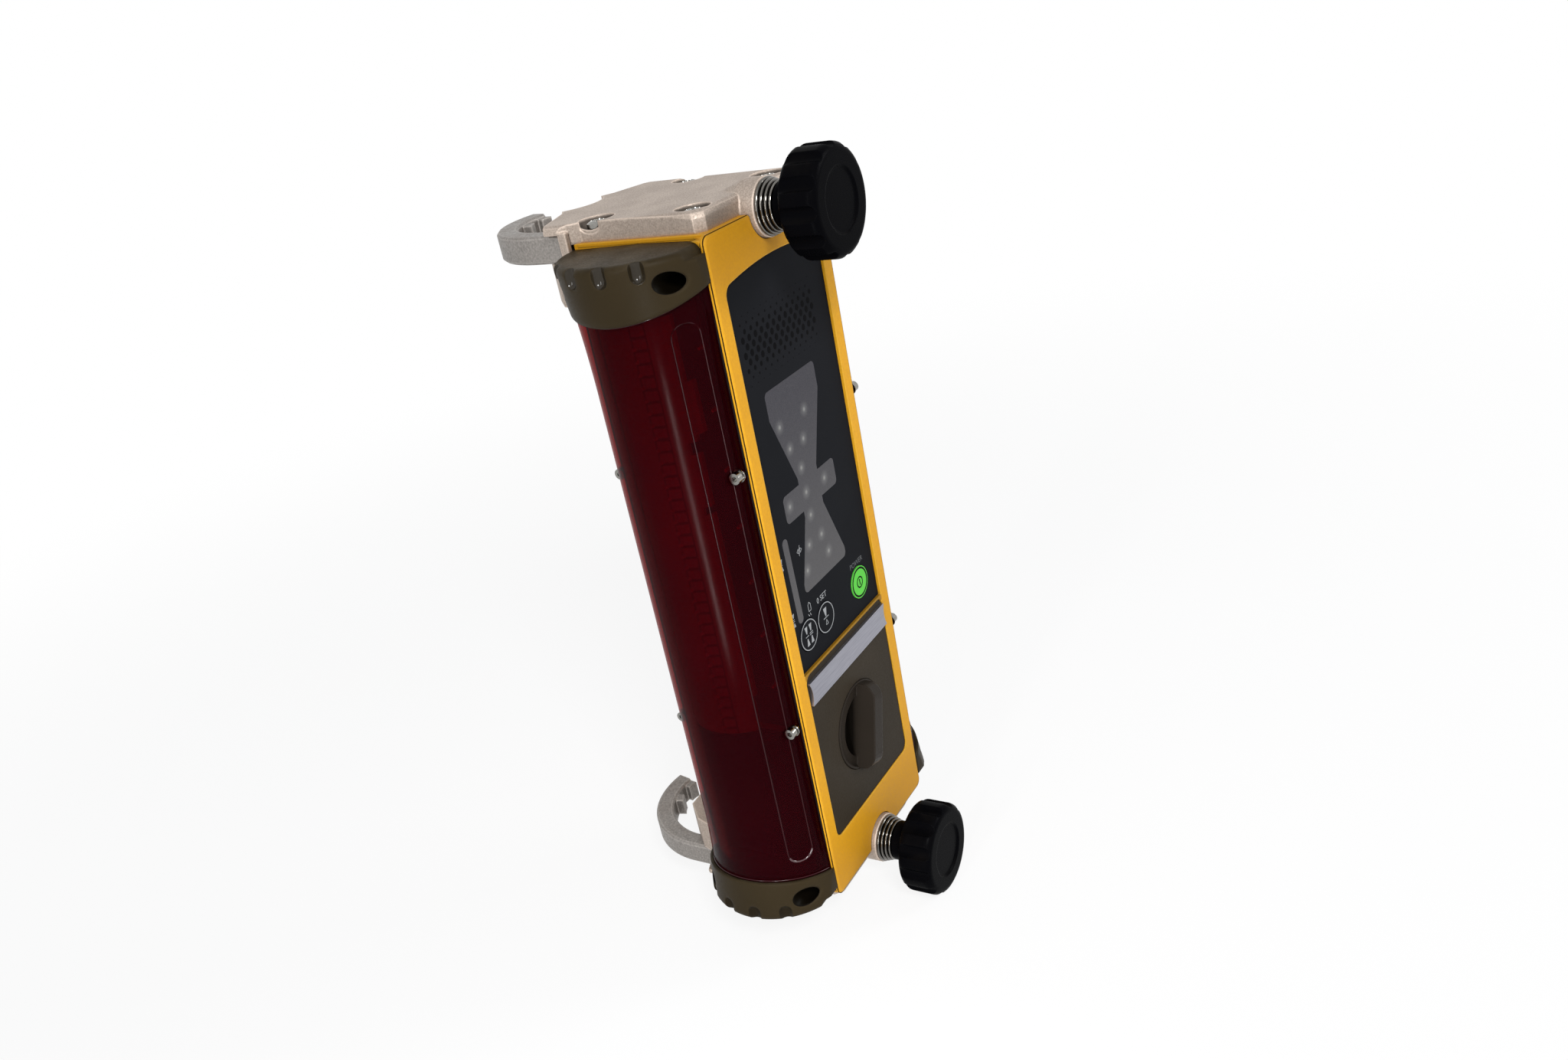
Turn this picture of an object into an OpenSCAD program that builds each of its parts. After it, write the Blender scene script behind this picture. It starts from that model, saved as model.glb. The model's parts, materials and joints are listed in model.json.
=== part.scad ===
// Pole-mounted laser receiver: a tall cast housing with a half-round receiving window on each side,
// a display panel, a slide-out battery holder and a screw-tightened hook clamp at each end.
// The frame stands on the mast axis at mid-height: +Z up, the front face towards -Y, +X to the right.

/* [Housing] */
// Width of the rails beside the front panel
rail_w = 8.5; // [7:0.1:11]
// Height of the front face
housing_h = 358; // [340:1:390]
// Depth from the front face to the back face
housing_d = 76; // [74:0.5:84]
// Thickness of the housing walls
wall = 4; // [3:0.25:5]
// Thickness of the front bezel
bezel_t = 2.5; // [2:0.25:3.5]
// Thickness of the flange under each clamp bracket
flange_t = 1.6; // [1.4:0.1:3]

/* [Windows] */
// Wall thickness of the receiving windows
window_t = 3; // [2:0.25:4]
// How far the window axis lies inside the housing side
window_inset = 6.4; // [5:0.2:8]
// How far a window widens towards the caps
window_flare = 1.2; // [0:0.1:1.4]
// Depth of the long shallow flute in each window
flute_d = 1.3; // [0.6:0.1:1.6]
// Height of the window screws above and below the middle
window_screw_z = 70; // [50:1:90]

/* [End caps] */
// Height of an end cap along the front rail
cap_h = 19; // [17:0.5:24]
// Slant of the upper cap edge across the window
cap_tilt = 18; // [10:1:22]
// Slant of the lower cap edge across the window
low_cap_tilt = 13.5; // [8:0.5:22]
// How far a cap stands out over the window
cap_lip = 3; // [2.5:0.25:4]
// How far a cap widens towards its end
cap_flare = 2.4; // [0:0.1:3]

/* [Front panel] */
// Width of the panel opening
panel_w = 88.6; // [86:0.2:92]
// Distance from the housing top to the crown of the panel
panel_gap = 20.4; // [19:0.2:30]
// How far the panel lies behind the front face
panel_recess = 1.6; // [1:0.1:2]
// Width of the arrows in the display
display_w = 48; // [40:1:52]
// Width of the on-grade bar in the display
bar_w = 52; // [40:1:56]
// Radius of the power button
power_r = 8.9; // [7:0.1:9.4]
// Radius of the two setting buttons
set_r = 8.4; // [6:0.1:8.6]

/* [Battery holder] */
// Width of the battery door
door_w = 87.2; // [84:0.2:90]
// Height of the battery door
door_h = 99.9; // [97:0.1:103]
// Distance from the housing bottom to the door
door_gap = 32; // [31:0.5:36]
// Radius of the lock dial
dial_r = 24.6; // [22:0.2:27]
// How far the dial grip stands out of the door
grip_h = 11; // [6:0.5:14]
// Turn of the dial grip from upright at rest
grip_turn = 18; // [0:1:25]
// Radius of a battery cell
cell_r = 13.1; // [11:0.1:13.5]

/* [Clamps] */
// Diameter of the mast
mast_d = 38; // [34:0.5:42]
// How far the jaw lips stand behind the housing
jaw_reach = 28.9; // [28:0.5:36]
// Half angle of the round jaw seat
seat_angle = 57; // [55:1:60]
// How far the jaw block reaches below the bracket plate
jaw_drop = 29; // [22:0.5:34]
// Thickness of the bracket plate
plate_t = 9.4; // [8.6:0.1:13]
// Width of the bracket plate
plate_w = 90; // [86:0.5:94]
// Inside radius of the hook
hook_r = 37.2; // [34:0.2:42]
// Thickness of the hook
hook_t = 10.6; // [8:0.2:12]
// Height of the hook
hook_h = 13.4; // [11:0.2:16]
// Diameter of the clamp rod
rod_d = 8; // [7:0.25:9]

/* [Knobs] */
// Radius of the clamp knobs
knob_r = 25.4; // [22:0.2:30]
// Thickness of the knob head
knob_t = 19.5; // [14:0.5:24]
// Number of finger flutes round a knob
knob_flutes = 12; // [8:1:14]

/* [Hidden] */
$fn = 64;
half = 0.5;
eps = 0.02;
over = 1;
far = 400;
slip = 0.3;
touch = 0.1;
seat_gap = 0.05;

door_rail = rail_w + 0.7;
housing_w = max(panel_w + rail_w * 2, door_w + door_rail * 2);
half_w = housing_w * half;
half_h = housing_h * half;
mid_y = housing_d * half;
mast_r = mast_d * half;
rod_r = rod_d * half;
jaw_y = housing_d + jaw_reach;
mast_y = jaw_y + mast_r * cos(seat_angle);

// Windows and caps
cap_r = housing_d * half;
window_r = cap_r - cap_lip;
window_in_r = window_r - window_t;
axis_x = half_w - window_inset;
edge_z = half_h - cap_h;
edge_fall = tan(cap_tilt);
low_fall = tan(low_cap_tilt);
outer_x = axis_x + cap_r + cap_flare + over;
window_tuck = 1.5;
tuck_clear = 0.25;
lip_step = 0.7;
lip_front = bezel_t + lip_step;
lip_deep = 5;
lip_t = 3.7;
lip_x = half_w + lip_t;
boss_r = 5;
boss_len = 11;
notch_r = 3.6;
screw_set = 2.1;
screw_y = bezel_t + screw_set;
screw_r = 1.5;
screw_hole_r = 1.7;
screw_in = 3.4;
head_r = 2.75;
head_h = 3;
seal_y = screw_y + screw_hole_r + slip;
window_seal_w = 1.4;
socket_r = 1.45;
socket_deep = 1.7;
washer_r = 3.3;
washer_t = 0.6;
lock_washer_r = 2.6;
lock_washer_t = 0.8;
flute_r = 42;
flute_turn = 55;
flute_end = 20;
flute_run = 6;
flange_in = 5.5;
flange_half = half_w - flange_in;
neck_half = flange_half - slip;
cap_gap = 0.2;
cap_in_x = flange_half + cap_gap;
cap_top = half_h - flange_t - cap_gap;
cap_fall = 0.6;
cap_round = 3.2;
cap_in = 0.6;
cap_clip = 0.3;
flare_len = 48;
flare_start = edge_z - flare_len;
flare_rest = 9;
flare_stop = edge_z - flare_rest;
cap_low = edge_z - max(edge_fall, low_fall) * (outer_x - half_w) - over;
dimple_r = 3.5;
dimple_out = 0.5;
dimple_low = 6.4;
dimple_turns = [-42.6, -18, 6.6, 31.4];
cap_screw_y = 8.5;
cap_screw_drop = 13.6;
cap_screw_z = half_h - cap_screw_drop;
cap_well_r = 4.9;
cap_well_wall = 0.6;
cap_well_x = half_w + cap_well_wall;
cap_screw_r = 2;
cap_screw_hole_r = 2.3;
cap_head_r = 3.1;
cap_head_h = 3.2;
cap_screw_in = 2.4;
slot_w = 1;
slot_deep = 1.2;
rail_z = edge_z + cap_gap;

// Housing
body_wall = 5;
cavity_half = half_w - body_wall;
roof_drop = 21.6;
cavity_top = half_h - roof_drop;
back_in = housing_d - wall;
crown_half = 43;
crown_drop = 14;
crown_top = half_h - crown_drop;
crown_deep = 40;
port_front = 12;
port_back = housing_d - port_front;
port_edge = 6;
port_top = cavity_top - port_edge;
port_lift = 104;
port_low = -half_h + port_lift;
channel_gap = 0.8;
channel_r = rod_r + channel_gap;
bezel_round = 4;
bezel_edge = 1.2;
bezel_edge_share = 0.35;
boss_out = 2.5;
boss_back = 8;
boss_cyl_r = 13.7;
boss_bed_r = 14.2;
boss_block = 18;
block_back = 13;
block_drop = 21;
block_low = half_h - block_drop;
flange_cut = 2.5;
corner_r = 5;
corner_in = 0.5;
corner_x = half_w - corner_in;
corner_y = bezel_t + corner_r;
corner_z = half_h - flange_t - corner_r;

// Front panel
panel_half = panel_w * half;
panel_clear = 0.25;
panel_crown = half_h - panel_gap;
panel_arc_r = 208;
panel_round = 6;
panel_t = 2.6;
panel_back = panel_recess + panel_t;
panel_flange = 1.8;
panel_tuck = 2;
flange_top_z = cavity_top - panel_tuck;
door_low = -half_h + door_gap;
door_top = door_low + door_h;
rib_gap = 0.4;
rib_low = door_top + rib_gap;
rib_t = 1;
panel_low = rib_low + rib_t;
display_lift = 37.6;
display_base = panel_low + display_lift;
arrow_low = 0;
arrow_foot = 5;
neck_low = 36.5;
bar_low = 40;
bar_high = 54.4;
neck_high = 57.5;
arrow_side = 93;
arrow_high = 107;
foot_in = 2;
foot_half = display_w * half - foot_in;
arrow_half = display_w * half;
neck_half_w = 9.6;
bar_half = bar_w * half;
display_round = 2.6;
display_clear = 0.1;
display_t = 3.2;
side_in = 9.5;
side_x = -panel_half + side_in;
side_low = -9.2;
side_high = 32.7;
side_half = 2.4;
side_gap = 2.4;
display_x = side_x + side_half + side_gap + bar_half;
side_lean = 0.8;
button_lift = 17.1;
button_z = panel_low + button_lift;
power_in = 18.1;
power_x = panel_half - power_in;
set_in = 13.3;
set_gap = 1.4;
set_x = [-panel_half + set_in, -panel_half + set_in + set_r * 2 + set_gap];
button_gap = 0.3;
button_proud = 0.5;
button_t = 4.2;
stem_r = 2.4;
stem_gap = 0.8;
board_gap = 8.4;
board_y = panel_back + board_gap;
board_t = 1.6;
board_in = 2.3;
board_half = panel_half - board_in;
board_edge = 4;
board_low = panel_low + board_edge;
board_drop = 10;
board_top = cavity_top - board_drop;
standoff_r = 3;
standoff_x = board_half - board_edge;
standoff_lift = 44;
standoff_low = board_low + standoff_lift;
standoff_in = 8;
standoff_top = board_top - standoff_in;
led_y = panel_recess + display_t + slip;
led_over = 6;
led_in = 0.8;
led_out = 4;
led_left = side_x + led_in;
led_right = display_x + bar_half + led_out;
led_low = display_base - led_over;
led_top = display_base + arrow_high + led_over;
buzzer_r = 11;
buzzer_h = 6;
buzzer_drop = 20;
buzzer_z = board_top - buzzer_drop;
buzzer_x = 14;
switch_half = 3;
switch_h = 2.2;

// Sensor stack behind each window
sensor_t = 1.6;
sensor_gap = 0.3;
sensor_lap = 4;
sensor_front = port_front - sensor_lap;
sensor_back = port_back + sensor_lap;
sensor_low = port_low - sensor_lap;
sensor_top = port_top + sensor_lap;
diode_n = 22;
diode_half = 2.2;
diode_h = 2.4;
diode_in = 8;
diode_low = port_low + diode_in;
diode_top = port_top - diode_in;
guide_in = 4.2;
guide_r = window_in_r - guide_in;
guide_t = 1.6;
guide_lift = 9.5;
guide_low = port_low + guide_lift;
guide_drop = 2;
guide_top = port_top - guide_drop;
guide_gap = 0.2;
guide_h = guide_top - guide_low;
// Steps of the guide's front edge from below: upper end as a share of its height, place in the depth
guide_step_shares = [[0.09, 0.243], [0.556, 0.228], [0.574, 0.27], [0.697, 0.228], [0.725, 0.27],
    [0.739, 0.228], [0.855, 0.197], [1, 0.228]];

// Battery holder
door_half = door_w * half;
door_face = 0.5;
door_t = 4;
door_back = door_face + door_t;
door_round = 5;
door_clear = 0.3;
bar_plate_h = 13;
bar_drop = 3.5;
bar_top = door_top - bar_drop;
bar_plate_out = 1.2;
bar_plate_in = 0.5;
bar_plate_half = door_half - bar_plate_in;
bar_end_r = 14;
bar_end_in = 1.4;
lock_share = 0.446446;
lock_z = door_low + door_h * lock_share;
dial_gap = 0.3;
dial_t = 8.6;
dial_set = 0.2;
dial_face = door_face + dial_set;
dial_back = dial_face + dial_t;
cup_wall = 2.4;
cup_floor = 2.6;
cup_back = dial_back + slip + cup_floor;
cup_r = dial_r + dial_gap + cup_wall;
grip_half = 4.5;
grip_in = 1;
grip_len_half = dial_r - grip_in;
grip_round = 8;
pocket_rim = 7;
pocket_r = dial_r - pocket_rim;
pocket_deep = 7;
shaft_r = 5;
shaft_hole_r = 5.06;
cam_front = cup_back + slip;
cam_t = 3;
cam_back = cam_front + cam_t;
cam_half_w = 5;
cam_hub_r = 9;
shaft_out = 0.6;
shaft_end = cam_back + shaft_out;
bay_set = 1.1;
bay_front = door_back + bay_set;
bay_in = 3.4;
bay_half = door_half - bay_in;
bay_wall = 3;
bay_edge = 0.6;
bay_low = door_low + bay_edge;
bay_top = door_top - bay_edge;
bay_back = back_in;
bay_floor = 2.4;
cam_slot_half = 19;
cam_slot_deep = 2.6;
cam_share = 0.42042;
cam_bite = 1.8;
cam_half = min(door_h * cam_share, bay_half + cam_bite);
strike_lap = 2.1;
strike_x = cam_half - strike_lap;
seal_in = 0.6;
seal_w = 1.8;
seal_t = 0.9;
tray_set = 2;
tray_front = cam_back + tray_set;
tray_t = 2;
strike_gap = 0.5;
tray_gap = 0.8;
tray_half = strike_x - strike_gap;
tray_low = bay_low + tray_gap;
tray_top = bay_top - tray_gap;
tray_rest = 0.6;
tray_back = bay_back - bay_floor - tray_rest;
tray_mid = (tray_low + tray_top) * half;
tube_t = 1.4;
cell_clear = 0.15;
tube_r = cell_r + cell_clear + tube_t;
tube_gap_x = 1.2;
cell_x = tube_r + tube_gap_x;
tube_gap_z = 3;
cell_dz = tube_r + tube_gap_z;
cell_set = 0.8;
cell_front = tray_front + tray_t + cell_set;
tray_floor = 1;
cell_rest = 0.2;
cell_back = tray_back - tray_floor - cell_rest;
nub_r = 3.2;
nub_h = 1;
post_r = 2.6;
post_in = 4.6;
contact_r = 5;
contact_t = 0.6;

// Clamps
plate_low = half_h;
plate_top = half_h + plate_t;
plate_half = plate_w * half;
plate_front = 5;
plate_edge = 3;
plate_edge_share = 0.3;
rod_z = half_h;
rod_fit = 0.05;
roof_wall = 1;
hook_top = rod_z + rod_r + roof_wall;
hook_low = hook_top - hook_h;
slot_gap = 0.3;
slot_top = hook_top + slot_gap;
slot_low = hook_low - slot_gap;
jaw_low = half_h - jaw_drop;
jaw_gap = 0.6;
jaw_front = housing_d + jaw_gap;
lip_half = mast_r * sin(seat_angle);
lip_rise = 4.4;
lip_base_y = jaw_y - lip_rise;
lip_spread = 5.6;
lip_base_x = lip_half + lip_spread;
rib_h = 3.2;
hook_cy = mast_y + mast_r + rib_h - hook_r;
hook_out = hook_r + hook_t;
hook_chamfer = 1.2;
hook_tip = 79;
rib_turns = [83, 106];
rib_w = 6;
rib_deep = 7;
rib_in_z = 1.6;
bar_set = 3.4;
bar_front = housing_d + bar_set;
bar_deep = 8;
bar_end = 12;
cheek_gap = 0.5;
cheek_in = hook_out + cheek_gap;
cheek_t = 2.6;
cheek_out = cheek_in + cheek_t;
cheek_reach = 5;
cheek_back = housing_d + cheek_reach;
flare_in = 4;
flare_front = housing_d - flare_in;
side_reach = 14;
side_back = housing_d + side_reach;
wall_in = 14;
wall_drop = 8;
wall_back = jaw_y - wall_drop;
jaw_corner_x = 37;
corner_drop = 4;
jaw_corner_y = jaw_y - corner_drop;
shoulder_x = 40;
shoulder_drop = 10;
shoulder_y = jaw_y - shoulder_drop;
rod_short = 0.8;
rod_back = mast_y - mast_r - rod_short;
hump_back = 22;
hump_r = 9;
front_screw_x = 33;
rear_screw_x = 38.5;
front_screw_y = 16;
rear_screw_in = 10;
rear_screw_y = housing_d - rear_screw_in;
bracket_well_r = 8.4;
bracket_well_deep = 5.6;
bracket_well_round = 3.2;
bracket_screw_r = 2.5;
bracket_hole_r = 2.8;
bracket_head_r = 5;
bracket_head_h = 3.4;
bracket_screw_in = 3.4;

// Knobs and washers
ring_r = 13.4;
ring_fall = 0.7;
ring_in = rod_r + slip;
ring_t = 1.8;
ring_step = 2;
ring_front = -boss_out - touch;
ring_n = 4;
hub_back = -boss_out - touch - ring_n * ring_step - slip;
hub_r = 11;
hub_len = 10;
knob_round = 4;
knob_flute_r = 4.6;
knob_flute_out = 2.4;
face_r = 14;
face_deep = 1;
rod_grip = 20;
rod_seat = 0.02;
nut_r = 9;
nut_t = 5;

front_y = -mast_y;

module from_front() {
    translate([0, front_y, 0])
        children();
}

module both_sides() {
    children();
    mirror([1, 0, 0])
        children();
}

module both_ends() {
    children();
    mirror([0, 0, 1])
        children();
}

module front_and_back() {
    children();
    translate([0, housing_d, 0])
        mirror([0, 1, 0])
            children();
}

module block(x0, x1, y0, y1, z0, z1) {
    translate([x0, y0, z0])
        cube([x1 - x0, y1 - y0, z1 - z0]);
}

module along_y(x, z, r, y0, y1) {
    translate([x, y0, z])
        rotate([-90, 0, 0])
            cylinder(h = y1 - y0, r = r);
}

module along_x(y, z, r, x0, x1) {
    translate([x0, y, z])
        rotate([0, 90, 0])
            cylinder(h = x1 - x0, r = r);
}

// A flat outline in x and z given depth from y0 to y1
module slab(y0, y1) {
    translate([0, y1, 0])
        rotate([90, 0, 0])
            linear_extrude(height = y1 - y0)
                children();
}

function arc(c, r, a0, a1, n) =
    [for (i = [0 : n]) c + r * [cos(a0 + (a1 - a0) * i / n), sin(a0 + (a1 - a0) * i / n)]];

function round_rect(x, z0, z1, r) = concat(
    arc([x - r, z0 + r], r, -90, 0, 6),
    arc([x - r, z1 - r], r, 0, 90, 6),
    arc([-x + r, z1 - r], r, 90, 180, 6),
    arc([-x + r, z0 + r], r, 180, 270, 6));

// Panel outline: straight sides, a shallow arched top and rounded top corners
function panel_side_z(x) = panel_crown - panel_arc_r + sqrt(panel_arc_r * panel_arc_r - x * x);

function panel_outline(x, low, drop) = concat(
    [[-x, low], [x, low]],
    arc([x - panel_round, panel_side_z(x - panel_round) - panel_round - drop], panel_round, 0, 80, 6),
    [for (i = [4 : -1 : -4])
        [(x - panel_round) * i / 5, panel_side_z((x - panel_round) * i / 5) - drop]],
    arc([-x + panel_round, panel_side_z(x - panel_round) - panel_round - drop],
        panel_round, 100, 180, 6));

function display_half() = [[foot_half, arrow_low], [foot_half, arrow_foot], [neck_half_w, neck_low],
    [neck_half_w, bar_low], [bar_half, bar_low], [bar_half, bar_high], [neck_half_w, bar_high],
    [neck_half_w, neck_high], [arrow_half, arrow_side], [arrow_half, arrow_high]];

function mirrored(p) = [for (i = [len(p) - 1 : -1 : 0]) [-p[i][0], p[i][1]]];

module display_shape(grow) {
    translate([display_x, display_base])
        offset(r = display_round + grow)
            offset(delta = -display_round)
                polygon(concat(display_half(), mirrored(display_half())));
}

module side_shape(grow) {
    offset(r = side_half + grow)
        polygon([[side_x - eps, display_base + side_low], [side_x + eps, display_base + side_low],
            [side_x + eps - side_lean, display_base + side_high],
            [side_x - eps - side_lean, display_base + side_high]]);
}

// Upright cylinder on the left window axis
module window_cylinder(r) {
    translate([-axis_x, mid_y, -half_h])
        cylinder(h = housing_h, r = r);
}

// Everything left of the housing side that lies between the two slanted cap edges
module window_zone(tuck, x_in, top_slope, low_slope) {
    rim = half_w - x_in;
    reach = outer_x - half_w;
    slab(-over, housing_d + over)
        polygon([[-x_in, -edge_z - tuck - low_slope * rim], [-x_in, edge_z + tuck + top_slope * rim],
            [-outer_x, edge_z + tuck - top_slope * reach],
            [-outer_x, -edge_z - tuck + low_slope * reach]]);
}

// Half of the window outline as radius and height: straight, then widening towards the cap
function window_rise(grow) = [for (i = [0 : 6])
    [window_r + grow + window_flare * i * i / 36, flare_start + (flare_stop - flare_start) * i / 6]];

function window_outline(grow) = concat(
    [[0, -half_h], [window_r + window_flare + grow, -half_h]],
    [for (i = [6 : -1 : 0]) [window_rise(grow)[i][0], -window_rise(grow)[i][1]]],
    window_rise(grow),
    [[window_r + window_flare + grow, half_h], [0, half_h]]);

// Solid filling the left window out to its surface
module window_body(grow) {
    translate([-axis_x, mid_y, 0])
        rotate_extrude()
            polygon(window_outline(grow));
}

module window_shell() {
    difference() {
        union() {
            intersection() {
                difference() {
                    window_body(0);
                    window_cylinder(window_in_r);
                }
                window_zone(window_tuck, half_w, edge_fall, low_fall);
            }
            front_and_back() {
                block(-lip_x, -half_w, lip_front, lip_front + lip_deep, -edge_z + over, edge_z - over);
                both_ends()
                    intersection() {
                        along_x(screw_y, window_screw_z, boss_r, -half_w - boss_len, -half_w);
                        window_body(0);
                    }
            }
        }
        front_and_back()
            both_ends() {
                along_x(screw_y, window_screw_z, notch_r, -outer_x, -lip_x);
                along_x(screw_y, window_screw_z, screw_hole_r, -outer_x, -half_w + over);
            }
        window_flute();
    }
}

// Long shallow hollow down the front of the window, rounded at both ends
module window_flute() {
    reach = window_r - flute_d + flute_r;
    translate([-axis_x, mid_y, 0])
        rotate([0, 0, flute_turn])
            translate([-reach, 0, 0]) {
                translate([0, 0, -edge_z + flute_end])
                    cylinder(h = (edge_z - flute_end) * 2, r = flute_r);
                both_ends()
                    translate([0, 0, edge_z - flute_end])
                        cylinder(h = flute_run, r1 = flute_r, r2 = flute_r - flute_d);
            }
}

// Flat seal under the window rim; out is how far its loop stands out of the housing side
module window_seal_ring(out) {
    difference() {
        block(-half_w - out, -half_w + seal_t, seal_y, housing_d - seal_y, -edge_z + over, edge_z - over);
        block(-half_w - out - over, -half_w + seal_t + over, seal_y + window_seal_w,
            housing_d - seal_y - window_seal_w, -edge_z + over + window_seal_w,
            edge_z - over - window_seal_w);
    }
}

function cap_profile() = concat(
    [[0, cap_low], [cap_r - cap_in, cap_low]],
    arc([cap_r + cap_flare - cap_round, cap_top - cap_fall - cap_round], cap_round, 0, 84, 6),
    [[0, cap_top]]);

module end_cap(slope) {
    difference() {
        intersection() {
            translate([-axis_x, mid_y, 0])
                rotate_extrude()
                    polygon(cap_profile());
            block(-outer_x, -cap_in_x, cap_clip, housing_d - cap_clip, cap_low - over, half_h);
        }
        block(-half_w - touch, 0, -over, bezel_t + touch, 0, far);
        flange_corner(-outer_x, 0, corner_r - cap_gap, lip_deep);
        slab(-over, housing_d + over)
            polygon([[0, cap_low - over], [0, edge_z + slope * half_w],
                [-outer_x, edge_z - slope * (outer_x - half_w)], [-outer_x, cap_low - over]]);
        intersection() {
            difference() {
                window_body(tuck_clear);
                window_cylinder(window_in_r - tuck_clear);
            }
            window_zone(window_tuck + tuck_clear, half_w - over, slope, slope);
        }
        for (a = dimple_turns)
            translate([-axis_x, mid_y, 0])
                rotate([0, 0, a])
                    translate([-cap_r - cap_flare - dimple_out, 0, cap_top - dimple_low]) {
                        cylinder(h = housing_h, r = dimple_r);
                        sphere(r = dimple_r);
                    }
        front_and_back() {
            along_x(cap_screw_y, cap_screw_z, cap_well_r, -outer_x, -cap_well_x);
            along_x(cap_screw_y, cap_screw_z, cap_screw_hole_r, -outer_x, 0);
        }
    }
}

// Filled corner in y and z between the flange and the bezel, hollowed to radius r, from x0 to x1
module flange_corner(x0, x1, r, out) {
    translate([x0, 0, 0])
        rotate([90, 0, 90])
            linear_extrude(height = x1 - x0)
                polygon(concat([[bezel_t - out, corner_z + corner_r + out]],
                    [[corner_y, corner_z + corner_r + out]],
                    arc([corner_y, corner_z], r, 90, 180, 6),
                    [[bezel_t - out, corner_z]]));
}

module main_housing() {
    color([0.86, 0.58, 0.1])
    from_front()
    difference() {
        union() {
            block(-half_w, half_w, bezel_t, housing_d, -rail_z, rail_z);
            block(-neck_half, neck_half, bezel_t, housing_d, -half_h, half_h);
            both_ends()
                slab(bezel_t, housing_d - flange_cut)
                    polygon([[-flange_half, half_h - flange_t], [flange_half, half_h - flange_t],
                        [flange_half, half_h], [-flange_half, half_h]]);
            both_sides()
                both_ends()
                    flange_corner(-corner_x, -neck_half + over, corner_r, 0);
        }
        difference() {
            union() {
                block(-cavity_half, cavity_half, -over, back_in, -cavity_top, cavity_top);
                both_ends()
                    block(-crown_half, crown_half, -over, crown_deep, cavity_top - over, crown_top);
            }
            both_ends()
                block(-boss_block, boss_block, -over, block_back, block_low, half_h);
        }
        both_sides()
            block(-half_w - over, -cavity_half + over, port_front, port_back, port_low, port_top);
        both_sides()
            window_seal_ring(over);
        both_ends() {
            along_y(0, rod_z, channel_r, -over, housing_d + over);
            along_y(0, rod_z, boss_bed_r, -over, boss_back + slip);
            both_sides() {
                bracket_screw_bore(front_screw_x, front_screw_y);
                bracket_screw_bore(rear_screw_x, rear_screw_y);
            }
        }
        both_sides()
            both_ends()
                front_and_back() {
                    along_x(screw_y, window_screw_z, screw_r + seat_gap, -half_w - over,
                        -half_w + screw_in + slip);
                    along_x(cap_screw_y, cap_screw_z, cap_screw_r + seat_gap, -half_w - over,
                        -neck_half + cap_screw_in + slip);
                }
    }
}

module bracket_screw_bore(x, y) {
    translate([x, y, half_h - bracket_screw_in - slip])
        cylinder(h = far, r = bracket_screw_r + seat_gap);
}

module front_bezel() {
    color([0.9, 0.63, 0.12])
    from_front()
    difference() {
        hull() {
            slab(bezel_edge, bezel_t)
                polygon(round_rect(half_w, -half_h, half_h, bezel_round));
            slab(bezel_edge * bezel_edge_share, bezel_t)
                polygon(round_rect(half_w - bezel_edge * bezel_edge_share,
                    -half_h + bezel_edge * bezel_edge_share,
                    half_h - bezel_edge * bezel_edge_share, bezel_round));
            slab(0, bezel_t)
                polygon(round_rect(half_w - bezel_edge, -half_h + bezel_edge, half_h - bezel_edge,
                    bezel_round));
        }
        slab(-over, bezel_t + over)
            polygon(panel_outline(panel_half, panel_low, 0));
        slab(-over, bezel_t + over)
            polygon(round_rect(door_half + door_clear, door_low - door_clear, rib_low, door_round));
        both_ends()
            along_y(0, rod_z, boss_bed_r, -over, bezel_t + over);
    }
}

module left_window() {
    color([0.3, 0.01, 0.03, 0.6])
        from_front()
            window_shell();
}

module right_window() {
    color([0.3, 0.01, 0.03, 0.6])
        from_front()
            mirror([1, 0, 0])
                window_shell();
}

module left_window_seal() {
    color([0.08, 0.08, 0.08])
        from_front()
            window_seal_ring(0);
}

module right_window_seal() {
    color([0.08, 0.08, 0.08])
        from_front()
            mirror([1, 0, 0])
                window_seal_ring(0);
}

module upper_left_cap() {
    color([0.24, 0.2, 0.14])
        from_front()
            end_cap(edge_fall);
}

module upper_right_cap() {
    color([0.24, 0.2, 0.14])
        from_front()
            mirror([1, 0, 0])
                end_cap(edge_fall);
}

module lower_left_cap() {
    color([0.24, 0.2, 0.14])
        from_front()
            mirror([0, 0, 1])
                end_cap(low_fall);
}

module lower_right_cap() {
    color([0.24, 0.2, 0.14])
        from_front()
            mirror([1, 0, 0])
                mirror([0, 0, 1])
                    end_cap(low_fall);
}

module cap_screws() {
    color([0.6, 0.6, 0.6])
    from_front()
    both_sides()
    both_ends()
    front_and_back()
    difference() {
        union() {
            along_x(cap_screw_y, cap_screw_z, cap_head_r, -cap_well_x - cap_head_h, -cap_well_x);
            along_x(cap_screw_y, cap_screw_z, cap_screw_r, -cap_well_x - eps, -neck_half + cap_screw_in);
        }
        block(-cap_well_x - cap_head_h - over, -cap_well_x - cap_head_h + slot_deep,
            cap_screw_y - slot_w * half, cap_screw_y + slot_w * half,
            cap_screw_z - cap_head_r, cap_screw_z + cap_head_r);
    }
}

module window_screws() {
    color([0.7, 0.7, 0.68])
    from_front()
    both_sides()
    both_ends()
    front_and_back()
    difference() {
        union() {
            along_x(screw_y, window_screw_z, head_r, -lip_x - washer_t - lock_washer_t - head_h,
                -lip_x - washer_t - lock_washer_t);
            along_x(screw_y, window_screw_z, screw_r, -lip_x - washer_t - lock_washer_t - eps,
                -half_w + screw_in);
        }
        translate([-lip_x - washer_t - lock_washer_t - head_h - over, screw_y, window_screw_z])
            rotate([0, 90, 0])
                cylinder(h = socket_deep + over, r = socket_r, $fn = 6);
    }
}

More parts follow.
